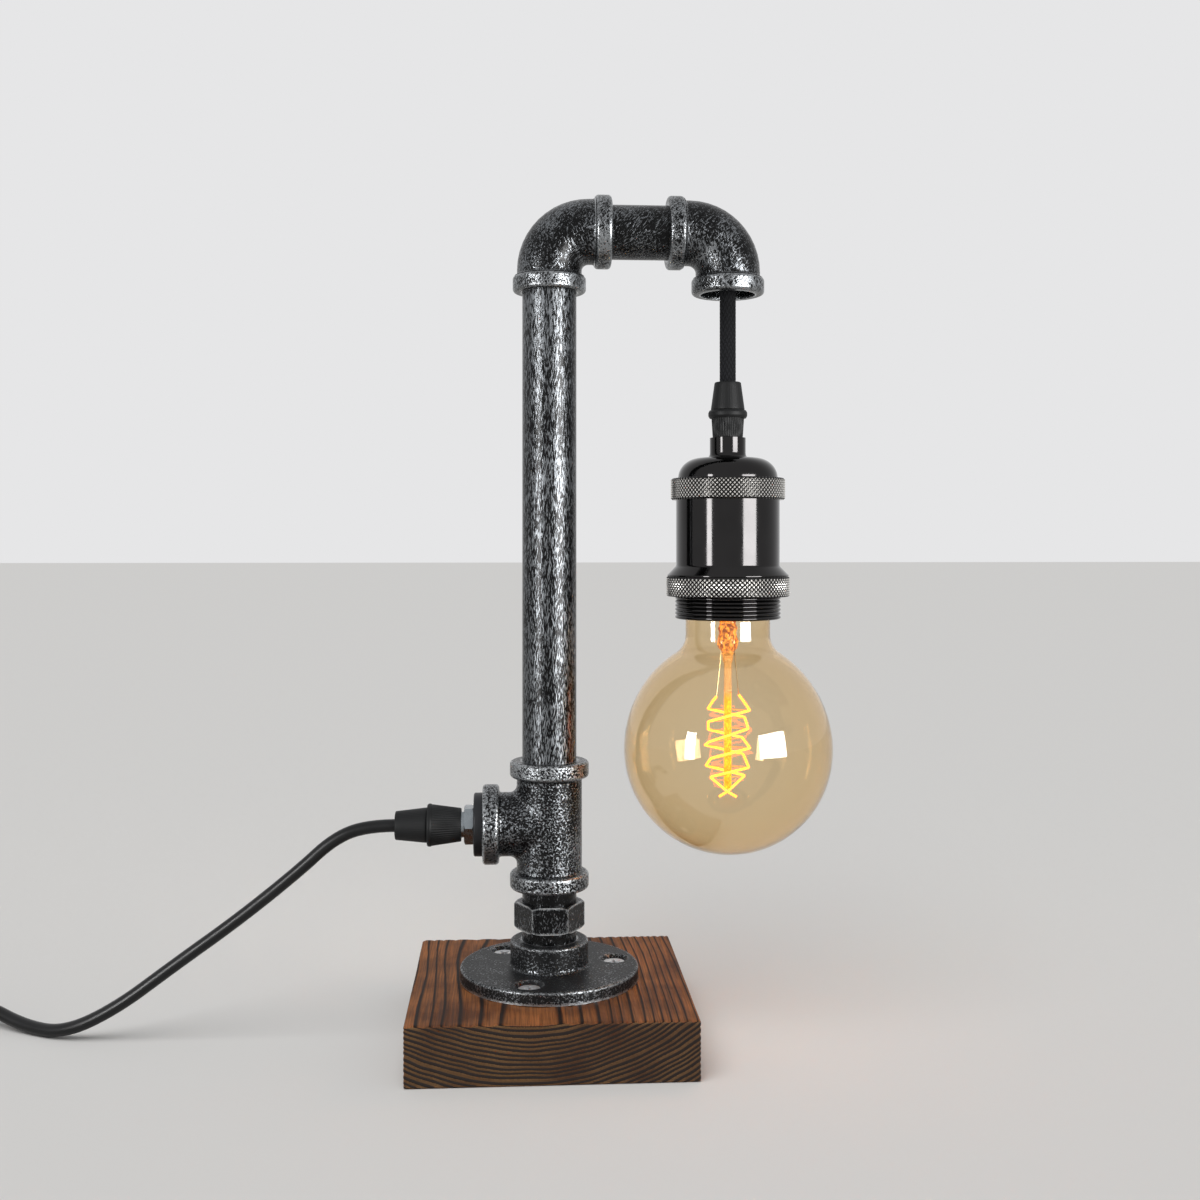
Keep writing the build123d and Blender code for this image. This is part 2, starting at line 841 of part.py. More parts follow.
def make_ceramic_insert():
    outside = shell_bore / 2 - fit_gap
    insert = turned((insert_bore / 2, insert_low), (outside, insert_low), (outside, insert_high),
                    (0, insert_high), (0, insert_ceiling), (insert_bore / 2, insert_ceiling))
    insert -= Pos(0, 0, insert_ceiling) * Cylinder(contact_rivet_diameter / 2 + fit_gap, 3 * insert_floor)
    hole = Cylinder(insert_wire_hole / 2, 3 * insert_floor)
    for side in (-1, 1):
        insert -= Pos(side * terminal_spacing / 2, 0, insert_ceiling) * hole
    return hung(insert)


def make_screw_sleeve():
    outside = insert_bore / 2 - fit_gap
    return hung(turned(
        (outside - sleeve_wall, insert_ceiling - sleeve_length), (outside, insert_ceiling - sleeve_length),
        (outside, insert_ceiling), (outside - sleeve_wall, insert_ceiling)))


def make_centre_contact():
    plate = contact_plate_diameter / 2
    rivet = contact_rivet_diameter / 2
    low = insert_ceiling - contact_plate_thickness
    head = insert_high + contact_plate_thickness
    return hung(turned((0, low), (plate, low), (plate, insert_ceiling), (rivet, insert_ceiling),
                       (rivet, insert_high), (2 * rivet, insert_high), (2 * rivet, head), (0, head)))


def make_terminal_blocks():
    block = Box(terminal_width, terminal_width, terminal_height, align=FROM_BASE)
    block -= Cylinder(terminal_screw_diameter / 2 + fit_gap, 3 * terminal_height)
    return Compound([hung(place * block) for place in terminal_places()])


def make_terminal_screws():
    head_low = terminal_height + core_diameter + fit_gap
    shank = terminal_screw_diameter / 2
    head = terminal_screw_head / 2
    head_high = head_low + terminal_screw_head_height
    screw = turned((0, 0), (shank, 0), (shank, head_low), (head, head_low), (head, head_high), (0, head_high))
    slot = Box(2 * head, screw_slot_width, terminal_screw_head_height)
    screw -= Pos(0, 0, head_high) * slot
    return Compound([hung(place * screw) for place in terminal_places()])


def make_holder_cores():
    start = dome_top - cap_roof - cable_end_in_cap
    landing = insert_high + terminal_height + core_diameter / 2 + fit_gap
    inner = terminal_spacing / 2 - terminal_screw_diameter / 2 - fit_gap
    cores = []
    for side in (-1, 1):
        core = side * core_spacing / 2
        path = FilletPolyline((0, core, start), (0, core, landing), (0, side * inner, landing),
                              radius=min(core_diameter, (start - landing) / 2))
        cores.append(hung(swept_tube(path, core_diameter)))
    return Compound(cores)


# Bulb

def bulb_outline(inset):
    """Lines of the globe's outline from its lowest point up to the cap, moved inwards by a wall."""
    radius = bulb_diameter / 2 - inset
    shoulder = bulb_shoulder_radius - inset
    shoulder_x = (bulb_diameter / 2) - bulb_shoulder_radius
    fillet_radius = bulb_neck_fillet + inset
    neck = bulb_neck_diameter / 2 - inset
    fillet_x = neck + fillet_radius
    reach = shoulder + fillet_radius
    rise = math.sqrt(reach ** 2 - (fillet_x - shoulder_x) ** 2)
    angle = math.degrees(math.atan2(rise, fillet_x - shoulder_x))
    cap = bulb_cap_root / 2 - bulb_cap_wall - fit_gap - inset
    return [
        CenterArc((0, bulb_centre), radius, -90, 90),
        CenterArc((shoulder_x, bulb_centre), shoulder, 0, angle),
        CenterArc((fillet_x, bulb_centre + rise), fillet_radius, 180 + angle, -angle),
        Polyline((neck, bulb_centre + rise), (neck, bulb_neck_end), (cap, bulb_cap_rim),
                 (cap, bulb_cap_rim + bulb_cap_skirt)),
    ]


def make_bulb_glass():
    outer = bulb_outline(0)
    inner = bulb_outline(bulb_glass_wall)
    low = bulb_centre - bulb_diameter / 2
    ends = [Line((0, low), (0, low + bulb_glass_wall)), Line(outer[-1] @ 1, inner[-1] @ 1)]
    face = make_face([edge for line in outer + inner + ends for edge in line.edges()])
    return hung(revolve(Plane.XZ * face, axis=Axis.Z))


def make_bulb_cap():
    crest = bulb_cap_diameter / 2
    root = bulb_cap_root / 2
    inside = root - bulb_cap_wall
    thread_low = bulb_cap_rim + bulb_cap_skirt
    waves = []
    for k in range(bulb_cap_turns):
        low = thread_low + k * bulb_cap_pitch
        waves += [(root, low, bulb_cap_thread_round),
                  (crest, low + bulb_cap_pitch / 2, bulb_cap_thread_round)]
    return hung(turned(
        (inside, bulb_cap_rim),
        (root, bulb_cap_rim),
        *waves,
        (root, thread_low + bulb_cap_turns * bulb_cap_pitch),
        (bulb_insulator_top, bulb_cap_top),
        (bulb_insulator_top - bulb_cap_wall, bulb_cap_top),
        (inside, thread_low + bulb_cap_turns * bulb_cap_pitch),
    ))


def make_bulb_insulator():
    contact = bulb_contact_diameter / 2
    top = bulb_cap_top + bulb_insulator_height
    return hung(turned((0, bulb_cap_top), (bulb_insulator_top, bulb_cap_top), (contact, top), (0, top)))


def make_bulb_contact():
    radius = bulb_contact_diameter / 2
    low = bulb_contact_top - bulb_contact_height
    return hung(turned((0, low), (radius, low), (radius, bulb_contact_top, bulb_contact_height / 2),
                       (0, bulb_contact_top)))


def filament_points():
    """Corners of the filament: down one strand, round the tip, and up the other."""
    z = holder_mouth - filament_below_mouth
    corners = [(-filament_half_width, -filament_half_depth, z)]
    ways = [(1, -1), (1, 1), (-1, 1), (-1, -1)]
    for k in range(2 * filament_half_turns):
        across, along = ways[k % 4]
        z -= filament_side_drop if k % 2 else filament_cross_drop
        corners.append((across * filament_half_width, along * filament_half_depth, z))
    tip = (0, 0, z - filament_tip_drop)
    other = [(-x, -y, height) for x, y, height in reversed(corners)]
    return corners, tip, other


def make_filament():
    corners, tip, other = filament_points()
    path = FilletPolyline(*corners, tip, *other, radius=filament_corner_round)
    return hung(swept_tube(path, filament_wire))


def make_glass_stem():
    low = holder_mouth - stem_below_mouth
    stem = stem_diameter / 2
    flare = bulb_cap_root / 2 - bulb_cap_wall - bulb_glass_wall - 2 * fit_gap
    flare_high = bulb_cap_rim + bulb_cap_skirt
    tip = filament_points()[1][2]
    rod_low = tip - rod_below_filament + filament_tip_drop
    rod = rod_diameter / 2
    return hung(turned(
        (0, rod_low),
        (rod, rod_low, rod_diameter / 4),
        (rod, low),
        (stem, low, stem_foot_round),
        (stem, flare_high - stem_flare_height, stem_diameter / 2),
        (flare, flare_high),
        (0, flare_high),
    ))


def make_lead_wires():
    corners, tip, other = filament_points()
    low = holder_mouth - stem_below_mouth
    wires = []
    for side, end in ((-1, corners[0]), (1, other[-1])):
        start = Vector(side * lead_wire_spacing / 2, 0, low - fit_gap)
        way = (Vector(*end) - start).normalized()
        stop = Vector(*end) - way * (filament_wire / 2 + lead_wire_diameter)
        wires.append(hung(rod_between(tuple(start), tuple(stop), lead_wire_diameter)))
    return Compound(wires)


def make_filament_supports():
    corners, tip, other = filament_points()
    rod = rod_diameter / 2 + fit_gap
    pins = []
    for x, y, z in corners[1:] + other[:-1]:
        reach = math.hypot(x, y)
        stop = reach - filament_wire / 2 - filament_corner_round
        start = (x / reach * rod, y / reach * rod, z)
        pins.append(hung(rod_between(start, (x / reach * stop, y / reach * stop, z), support_wire)))
    return Compound(pins)


# Mains cord and what is on it

def cord_path():
    """Route of the cord from the grip's mouth to inside the switch, with arcs as large as its runs allow."""
    into = switch_end_x + cord_straight_into_switch
    points = [(cord_exit, 0, tee_axis), *cord_route, (into, switch_axis_y, switch_axis),
              (switch_end_x - switch_cord_entry, switch_axis_y, switch_axis)]
    spots = [Vector(*point) for point in points]
    radii = []
    for before, corner, after in zip(spots, spots[1:], spots[2:]):
        arriving = corner - before
        leaving = after - corner
        half_turn = math.radians(arriving.get_angle(leaving)) / 2
        radii.append(cord_run_share * min(arriving.length, leaving.length) / math.tan(half_turn))
    print("cord radii", [round(radius, 1) for radius in radii])
    return FilletPolyline(*points, radius=radii)


def make_mains_cord():
    path = cord_path()
    cord = swept_tube(path, cord_diameter)
    section = math.pi * (cord_diameter / 2) ** 2
    print("cord length", round(path.length, 1), "volume share", round(cord.volume / (section * path.length), 4))
    return cord


def coil_wire():
    """The coil's middle line: straight out of the switch, round both layers, and straight into the plug."""
    left = Vector(-1, 0, 0)
    right = Vector(1, 0, 0)
    start = Vector(switch_far_x + switch_cord_entry, switch_axis_y, switch_axis)
    leave = Vector(switch_far_x - cord_diameter, switch_axis_y, switch_axis)
    spots = []
    for k in range(2 * coil_half_turns_a_layer + 2):
        layer = k > coil_half_turns_a_layer
        inwards = 2 * coil_half_turns_a_layer + 1 - k if layer else k
        radius = coil_outer_radius - inwards * coil_turn_pitch / 2
        side = -1 if k % 2 else 1
        spots.append(Vector(coil_x, coil_y + side * radius, coil_high if layer else coil_low))
    meet = Vector(plug_back_x - cord_diameter, plug_y, plug_axis)
    stop = Vector(plug_back_x + plug_cord_entry, plug_y, plug_axis)
    edges = [Edge.make_line(start, leave), *biarc(leave, left, spots[0], left)]
    for k, (a, b) in enumerate(zip(spots, spots[1:])):
        ways = (right, left) if k % 2 else (left, right)
        edges += biarc(a, ways[0], b, ways[1])
    edges += [*biarc(spots[-1], right, meet, right), Edge.make_line(meet, stop)]
    return Wire(edges)


def make_cord_coil():
    wire = coil_wire()
    count = int(wire.length / (cord_diameter / 4))
    points = [wire @ (k / count) for k in range(count + 1)]
    print("coil length", round(wire.length, 1), "least gap", round(least_gap(points, cord_diameter), 2))
    return swept_tube(wire, cord_diameter)


def make_cord_tie():
    reach = cord_diameter / 2 + tie_slack
    inner = coil_inner_radius + coil_turn_pitch / 4 - reach
    outer = coil_outer_radius - coil_turn_pitch / 4 + reach
    height = coil_high - coil_low + cord_diameter + 2 * moving_gap
    width = outer - inner
    band = RectangleRounded(width + 2 * tie_thickness, height + 2 * tie_thickness, tie_corner + tie_thickness)
    band -= RectangleRounded(width, height, tie_corner)
    place = Pos(coil_x - (inner + outer) / 2, coil_y, (coil_low + coil_high) / 2)
    return place * extrude(Plane.XZ * band, tie_width / 2, both=True)


def on_switch(part):
    """Place a part of the switch, built about its middle on the floor."""
    return Pos((switch_end_x + switch_far_x) / 2, switch_axis_y, 0) * part


def switch_half(low, high, roof):
    """Half of the switch's case between two heights, open towards the split, and its hollow."""
    case = extrude(Pos(0, 0, low) * RectangleRounded(switch_length, switch_width, switch_corner), high - low)
    side = Axis.Z if roof else -Axis.Z
    case = fillet(case.faces().sort_by(side)[-1].edges(), switch_edge_round)
    inner = RectangleRounded(switch_length - 2 * switch_wall, switch_width - 2 * switch_wall,
                             switch_corner - switch_wall)
    hollow_low = low - cut_overrun if roof else low + switch_wall
    hollow_high = high - switch_wall if roof else high + cut_overrun
    case -= extrude(Pos(0, 0, hollow_low) * inner, hollow_high - hollow_low)
    entry = Rot(0, 90, 0) * Cylinder(cord_diameter / 2 + cord_play, switch_length + cut_overrun)
    return case - Pos(0, 0, switch_axis) * entry


def switch_screw_spots():
    """Places of the two case screws, on one diagonal."""
    return [Pos(side * switch_boss_x, side * switch_boss_y, 0) for side in (-1, 1)]


def make_switch_base():
    base = switch_half(0, switch_axis, False)
    boss = Cylinder(switch_boss_diameter / 2, switch_axis, align=FROM_BASE)
    hole = Cylinder(switch_screw_diameter / 2 + fit_gap, 3 * switch_axis)
    head = Cylinder(switch_screw_head / 2 + fit_gap, 2 * (switch_screw_head_height + fit_gap))
    for spot in switch_screw_spots():
        base = base + spot * boss - spot * hole - spot * head
    post_y = rocker_width / 2 + moving_gap + rocker_post_thickness / 2
    post_height = rocker_pivot_height + rocker_pin_diameter / 2 + rocker_post_rise - switch_wall
    post = Box(rocker_post_length, rocker_post_thickness, post_height, align=FROM_BASE)
    for side in (-1, 1):
        base += Pos(0, side * post_y, switch_wall) * post
    pin_hole = Cylinder(rocker_pin_diameter / 2 + rocker_pin_play, switch_width - 2 * switch_wall)
    return on_switch(base - Pos(0, 0, rocker_pivot_height) * Rot(90, 0, 0) * pin_hole)


def make_switch_cover():
    cover = switch_half(switch_axis, switch_height, True)
    boss = Cylinder(switch_boss_diameter / 2, switch_height - switch_wall - switch_axis, align=FROM_BASE)
    hole = Cylinder(switch_screw_diameter / 2 + fit_gap, 2 * (switch_screw_length + fit_gap))
    for spot in switch_screw_spots():
        cover = cover + spot * Pos(0, 0, switch_axis) * boss
        cover -= spot * Pos(0, 0, switch_screw_head_height) * hole
    window = Box(rocker_length + 2 * rocker_window_gap, rocker_width + 2 * moving_gap, switch_height)
    return on_switch(cover - Pos(0, 0, switch_height) * window)


def make_switch_rocker():
    half = rocker_length / 2
    outline = Polyline((-half, -rocker_depth), (half, -rocker_depth), (half, rocker_end_height),
                       (0, rocker_ridge_height), (-half, rocker_end_height), close=True)
    rocker = extrude(Plane.XZ * make_face(outline), rocker_width / 2, both=True)
    pin_length = rocker_width + 2 * (moving_gap + rocker_post_thickness)
    rocker += Rot(90, 0, 0) * Cylinder(rocker_pin_diameter / 2, pin_length)
    return on_switch(Pos(0, 0, rocker_pivot_height) * Rot(0, rocker_tilt, 0) * rocker)


def make_switch_screws():
    head = switch_screw_head / 2
    shank = switch_screw_diameter / 2
    top = switch_screw_head_height + switch_screw_length
    screw = turned((0, fit_gap), (head, fit_gap), (head, switch_screw_head_height),
                   (shank, switch_screw_head_height), (shank, top), (0, top))
    screw -= Pos(0, 0, fit_gap) * Box(2 * head, screw_slot_width, switch_screw_head_height)
    return Compound([on_switch(spot * screw) for spot in switch_screw_spots()])


def make_switch_terminals():
    block = Box(switch_terminal_length, switch_terminal_width, switch_terminal_height, align=FROM_BASE)
    return Compound([on_switch(Pos(side * switch_terminal_x, 0, switch_wall) * block) for side in (-1, 1)])


def make_plug_body():
    half = plug_width / 2
    back = plug_back_width / 2
    shoulder = plug_length - plug_face_depth
    outline = Polyline((0, -back), (shoulder, -half), (plug_length, -half), (plug_length, half),
                       (shoulder, half), (0, back), close=True)
    body = extrude(make_face(outline), plug_thickness / 2, both=True)
    body = fillet(body.edges().filter_by(Axis.Z), plug_corner)
    rims = [face.edges() for face in body.faces().filter_by(Axis.Z)]
    body = fillet([edge for rim in rims for edge in rim], plug_edge_round)
    relief = turned((0, 0), (plug_relief_mouth / 2, 0, bush_edge_round),
                    (plug_relief_base / 2, plug_relief_length), (plug_relief_base / 2, shoulder + plug_relief_length),
                    (0, shoulder + plug_relief_length))
    entry = Cylinder(cord_diameter / 2 + cord_play, 2 * (plug_cord_entry + fit_gap))
    body = Pos(plug_relief_length, 0, 0) * body + Rot(0, 90, 0) * relief - Rot(0, 90, 0) * entry
    seat = Rot(0, 90, 0) * Cylinder(pin_diameter / 2 + fit_gap, 2 * (pin_seat + fit_gap))
    for side in (-1, 1):
        body -= Pos(plug_relief_length + plug_length, side * pin_spacing / 2, 0) * seat
    return Pos(plug_back_x, plug_y, plug_axis) * body


def make_plug_pins():
    pin = turned((0, -pin_seat), (pin_diameter / 2, -pin_seat), (pin_diameter / 2, pin_length, pin_tip_round),
                 (0, pin_length))
    return Compound([Pos(plug_face_x, plug_y + side * pin_spacing / 2, plug_axis) * Rot(0, 90, 0) * pin
                     for side in (-1, 1)])


NODES = {
    "base_block": make_base_block,
    "floor_flange": make_floor_flange,
    "flange_screws": make_flange_screws,
    "hex_nipple": make_hex_nipple,
    "tee": make_tee,
    "upright_pipe": make_upright_pipe,
    "upright_elbow": make_upright_elbow,
    "arm_nipple": make_arm_nipple,
    "outlet_elbow": make_outlet_elbow,
    "outlet_bush": make_outlet_bush,
    "gland_locknut": make_gland_locknut,
    "gland_tube": make_gland_tube,
    "cord_grip_body": make_cord_grip_body,
    "cord_grip_nut": make_cord_grip_nut,
    "mains_sheath_end": make_mains_sheath_end,
    "supply_cores": make_supply_cores,
    "butt_splices": make_butt_splices,
    "cable_cores": make_cable_cores,
    "cable_in_pipe": make_cable_in_pipe,
    "cable_upper": make_cable_upper,
    "cable_lower": make_cable_lower,
    "holder_grip_nut": make_holder_grip_nut,
    "holder_grip_body": make_holder_grip_body,
    "holder_tube": make_holder_tube,
    "holder_cap": make_holder_cap,
    "holder_shell": make_holder_shell,
    "shade_ring": make_shade_ring,
    "ceramic_insert": make_ceramic_insert,
    "screw_sleeve": make_screw_sleeve,
    "centre_contact": make_centre_contact,
    "terminal_blocks": make_terminal_blocks,
    "terminal_screws": make_terminal_screws,
    "holder_cores": make_holder_cores,
    "bulb_glass": make_bulb_glass,
    "bulb_cap": make_bulb_cap,
    "bulb_insulator": make_bulb_insulator,
    "bulb_contact": make_bulb_contact,
    "glass_stem": make_glass_stem,
    "lead_wires": make_lead_wires,
    "filament": make_filament,
    "filament_supports": make_filament_supports,
    "mains_cord": make_mains_cord,
    "cord_coil": make_cord_coil,
    "cord_tie": make_cord_tie,
    "switch_base": make_switch_base,
    "switch_cover": make_switch_cover,
    "switch_rocker": make_switch_rocker,
    "switch_screws": make_switch_screws,
    "switch_terminals": make_switch_terminals,
    "plug_body": make_plug_body,
    "plug_pins": make_plug_pins,
}

os.makedirs("parts", exist_ok=True)
for name, make in NODES.items():
    export_step(make(), os.path.join("parts", name + ".step"))
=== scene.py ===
import json
import logging
import math
from dataclasses import dataclass, field, replace
from enum import Enum
from typing import Any, Callable, Optional, Sequence, Union

import bmesh
import bpy
from mathutils import Matrix, Vector, noise


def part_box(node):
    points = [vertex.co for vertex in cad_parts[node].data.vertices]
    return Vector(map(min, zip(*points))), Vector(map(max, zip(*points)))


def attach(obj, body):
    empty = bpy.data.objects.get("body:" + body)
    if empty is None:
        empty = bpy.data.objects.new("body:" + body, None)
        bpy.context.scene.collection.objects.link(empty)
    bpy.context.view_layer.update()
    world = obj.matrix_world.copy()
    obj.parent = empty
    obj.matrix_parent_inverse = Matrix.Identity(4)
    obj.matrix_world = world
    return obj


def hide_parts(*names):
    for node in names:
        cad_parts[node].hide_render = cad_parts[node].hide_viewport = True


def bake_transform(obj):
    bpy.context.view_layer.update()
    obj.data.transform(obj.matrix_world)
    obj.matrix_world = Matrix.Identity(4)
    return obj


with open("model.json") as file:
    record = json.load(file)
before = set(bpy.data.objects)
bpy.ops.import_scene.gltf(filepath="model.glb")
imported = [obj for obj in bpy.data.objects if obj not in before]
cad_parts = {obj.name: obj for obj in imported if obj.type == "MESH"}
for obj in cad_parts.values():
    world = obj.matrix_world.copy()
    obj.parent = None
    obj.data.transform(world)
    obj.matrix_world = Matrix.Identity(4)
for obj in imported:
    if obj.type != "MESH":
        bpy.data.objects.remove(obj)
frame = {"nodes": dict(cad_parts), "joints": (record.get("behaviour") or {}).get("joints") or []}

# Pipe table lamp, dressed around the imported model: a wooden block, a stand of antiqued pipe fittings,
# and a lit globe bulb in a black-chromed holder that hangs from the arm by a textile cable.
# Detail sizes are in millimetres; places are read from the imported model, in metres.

LOG = logging.getLogger("pipe_lamp")
MM = 0.001
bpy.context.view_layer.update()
WELD = 1e-7  # metres within which points are one
SLACK = 1e-6  # millimetres by which a height may miss its band
TINT = {"data_type": "RGBA", "out": 2}  # settings of a Mix node that blends two colours
EASED = {"interpolation_type": "SMOOTHSTEP"}  # setting of a Map Range node with soft ends

Tree = bpy.types.NodeTree
Socket = bpy.types.NodeSocket
Inputs = dict[Union[str, int], Any]
Point = tuple[float, float, float]
Pair = tuple[float, float]
Corner = tuple[float, ...]
Outline = list[Pair]
Relief = Callable[[float, float, float], float]


class Body(str, Enum):
    """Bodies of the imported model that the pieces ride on."""

    STAND = "stand"
    LINK = "cable_link"
    PENDANT = "pendant"
    RING = "ring"
    BUTTON = "bulb_button"
    BULB = "bulb"


class Slot(str, Enum):
    """Material slots of the record that new pieces take their finish from."""

    WOOD = "softwood"
    PLASTIC = "black_plastic"
    CORD = "cord_pvc"
    TEXTILE = "textile_cable"
    CHROME = "black_chrome"
    GLASS = "amber_glass"
    STEM = "clear_glass"
    STEEL = "bright_steel"
    WIRE = "tungsten"
    NICKEL = "nickel_brass"


class Way(Enum):
    """Directions in which a turned piece's own axis points on the lamp."""

    UP = Matrix.Identity(4)
    OUTWARD = Matrix.Rotation(math.radians(-90), 4, "Y")


# Materials

def linear(hex_colour: str) -> tuple[float, float, float, float]:
    """Turn an sRGB hex colour into linear RGBA.

    Args:
        hex_colour: Colour written as #rrggbb.

    Returns:
        Linear red, green, blue and an alpha of 1.
    """
    parts = [int(hex_colour[k:k + 2], 16) / 255 for k in (1, 3, 5)]
    red, green, blue = [c / 12.92 if c <= 0.04045 else ((c + 0.055) / 1.055) ** 2.4 for c in parts]
    return red, green, blue, 1.0


def per_mm(size: float) -> float:
    """Texture scale, per metre, of a pattern whose features are this many millimetres."""
    return 1 / (size * MM)


def add_node(tree: Tree, kind: str, inputs: Union[Inputs, Sequence[Any]] = (), out: Union[int, str] = 0,
             **settings: Any) -> Optional[Socket]:
    """Add a shader node, set it up, and wire or set its inputs.

    Args:
        tree: Node tree of the material.
        kind: Node type without its ShaderNode prefix.
        inputs: Sockets to link and constants to set, by input name or index, or in the node's own order.
        out: Name or index of the output that is asked for.
        settings: Properties of the node itself.

    Returns:
        The output, or none from a node without outputs.
    """
    made = tree.nodes.new("ShaderNode" + kind)
    for key, value in settings.items():
        setattr(made, key, value)
    for key, value in inputs.items() if isinstance(inputs, dict) else enumerate(inputs):
        if isinstance(value, Socket):
            tree.links.new(value, made.inputs[key])
        else:
            made.inputs[key].default_value = value
    return made.outputs[out] if len(made.outputs) else None


@dataclass(frozen=True)
class Finish:
    """A surface finish that makes one procedural material."""

    name: str

    def dress(self, tree: Tree) -> Inputs:
        """Wire the finish's nodes; each finish has its own.

        Args:
            tree: Node tree of the material.

        Returns:
            Inputs of the surface shader.
        """
        raise NotImplementedError

    def fill(self, tree: Tree) -> Inputs:
        """Wire what lies below the surface, which is nothing for most finishes."""
        return {}

    def material(self) -> bpy.types.Material:
        """Make the finish's material on first use, and find it again after that.

        Returns:
            The material.
        """
        made = bpy.data.materials.get(self.name)
        if made is None:
            made = bpy.data.materials.new(self.name)
            made.use_nodes = True
            tree = made.node_tree
            tree.nodes.clear()
            shader = add_node(tree, "BsdfPrincipled", self.dress(tree))
            add_node(tree, "OutputMaterial", {"Surface": shader, **self.fill(tree)})
        return made


@dataclass(frozen=True)
class AntiquedIron(Finish):
    """Iron in black lacquer, dry-brushed with silver that catches on the casting's grain and edges.

    The eye sees deep gloss black under fine silver strokes, which flash where a lamp is mirrored, and pale
    worn arrises. Beads are paler too, partly from wear and partly as painted highlight. Strokes are drawn
    about twice as coarse as the real ones, so that they show at this size.
    """

    lacquer: str = "#060607"
    silver: str = "#74777a"
    worn_and_highlight_silver: str = "#b4b7b9"
    stroke_mm: float = 0.75
    stretch: float = 1.0
    leans: tuple[Point, ...] = ((0.0, 0.0, 0.0),)
    bare_level: float = 0.56
    softness: float = 0.05
    patch_mm: float = 13.0
    patch_gain: float = 0.08
    patch_span: Pair = (0.25, 0.75)
    edge_mm: float = 1.3
    edge_gain: float = 0.36
    edge_span: Pair = (0.95, 0.45)
    edge_samples: int = 6
    rub_share: float = 0.7
    bores: tuple[tuple[Point, Point], ...] = ()
    bead_mm: float = 13.8
    # beads take more silver and the paler tone: partly wear, partly painted highlight
    bead_soft_mm: float = 0.3
    bead_gain_and_highlight: float = 0.05
    bead_rub_and_highlight: float = 0.3
    relief_mm: float = 0.30
    lacquer_rough: float = 0.22
    silver_rough: float = 0.28
    silver_metal: float = 0.95
    shine: float = 0.15
    top_loss: float = 0.0
    top_span: Pair = (0.6, 0.95)

    def beads(self, tree: Tree, spot: Socket) -> Socket:
        """Find the fitting's beads, which stand further from both bores than its plain walls do.

        Args:
            tree: Node tree of the material.
            spot: Place on the lamp.

        Returns:
            1 on a bead and 0 elsewhere.
        """
        reaches = []
        for origin, across in self.bores:
            off = add_node(tree, "VectorMath", (spot, origin), operation="SUBTRACT")
            off = add_node(tree, "VectorMath", (off, across), operation="MULTIPLY")
            reaches.append(add_node(tree, "VectorMath", (off,), out="Value", operation="LENGTH"))
        least = add_node(tree, "Math", reaches, operation="MINIMUM")
        start, full = [(self.bead_mm + soft) * MM for soft in (-self.bead_soft_mm, self.bead_soft_mm)]
        return add_node(tree, "MapRange", (least, start, full))

    def dress(self, tree: Tree) -> Inputs:
        """Lay strokes, a little unevenness and worn edges over the lacquer.

        Args:
            tree: Node tree of the material.

        Returns:
            Inputs of the surface shader.
        """
        spot = add_node(tree, "TexCoord", out="Object")
        layers = []
        for lean in self.leans:
            drag = {"Vector": spot, "Rotation": lean, "Scale": (1.0, 1.0, self.stretch)}
            layers.append(add_node(tree, "TexNoise", {
                "Vector": add_node(tree, "Mapping", drag, vector_type="TEXTURE"),
                "Scale": per_mm(self.stroke_mm), "Detail": 2.0, "Roughness": 0.55, "Distortion": 0.5}))
        strokes = layers[0]
        for layer in layers[1:]:
            strokes = add_node(tree, "Math", (strokes, layer), operation="MAXIMUM")
        patches = add_node(tree, "TexNoise", {"Vector": spot, "Scale": per_mm(self.patch_mm), "Detail": 2.0})
        uneven = add_node(tree, "MapRange", (patches, *self.patch_span, -self.patch_gain, self.patch_gain))
        solid = add_node(tree, "AmbientOcclusion", {"Distance": self.edge_mm * MM}, out="AO", inside=True,
                         only_local=True, samples=self.edge_samples)
        edge = add_node(tree, "MapRange", (solid, *self.edge_span, 0.0, self.edge_gain))
        rub_and_bead_highlight = add_node(tree, "MapRange", (edge, 0.0, self.edge_gain * self.rub_share))
        upward = add_node(tree, "SeparateXYZ", (add_node(tree, "TexCoord", out="Normal"),), out="Z")
        # faces that point up get less silver, by top_loss
        less_silver_facing_up = add_node(tree, "MapRange", (upward, *self.top_span, 0.0, self.top_loss))
        if self.bores:
            proud = self.beads(tree, spot)
            # beads painted paler: partly wear, partly painted highlight
            uneven = add_node(tree, "Math", (proud, self.bead_gain_and_highlight, uneven), operation="MULTIPLY_ADD")
            rub_and_bead_highlight = add_node(tree, "Math", (proud, self.bead_rub_and_highlight, rub_and_bead_highlight), operation="MULTIPLY_ADD")
        level = add_node(tree, "Math", (strokes, uneven), operation="ADD")
        level = add_node(tree, "Math", (level, edge), operation="ADD")
        level = add_node(tree, "Math", (level, less_silver_facing_up), operation="SUBTRACT")
        start, full = self.bare_level - self.softness, self.bare_level + self.softness
        bare = add_node(tree, "MapRange", (level, start, full), **EASED)
        silver = add_node(tree, "Mix", {0: rub_and_bead_highlight, 6: linear(self.silver), 7: linear(self.worn_and_highlight_silver)}, **TINT)
        return {
            "Base Color": add_node(tree, "Mix", {0: bare, 6: linear(self.lacquer), 7: silver}, **TINT),
            "Roughness": add_node(tree, "MapRange", (bare, 0.0, 1.0, self.lacquer_rough, self.silver_rough)),
            "Metallic": add_node(tree, "MapRange", (bare, 0.0, 1.0, 0.0, self.silver_metal)),
            "Normal": add_node(tree, "Bump", {"Height": strokes, "Strength": 0.8,
                                              "Distance": self.relief_mm * MM}),
            "Specular IOR Level": self.shine}


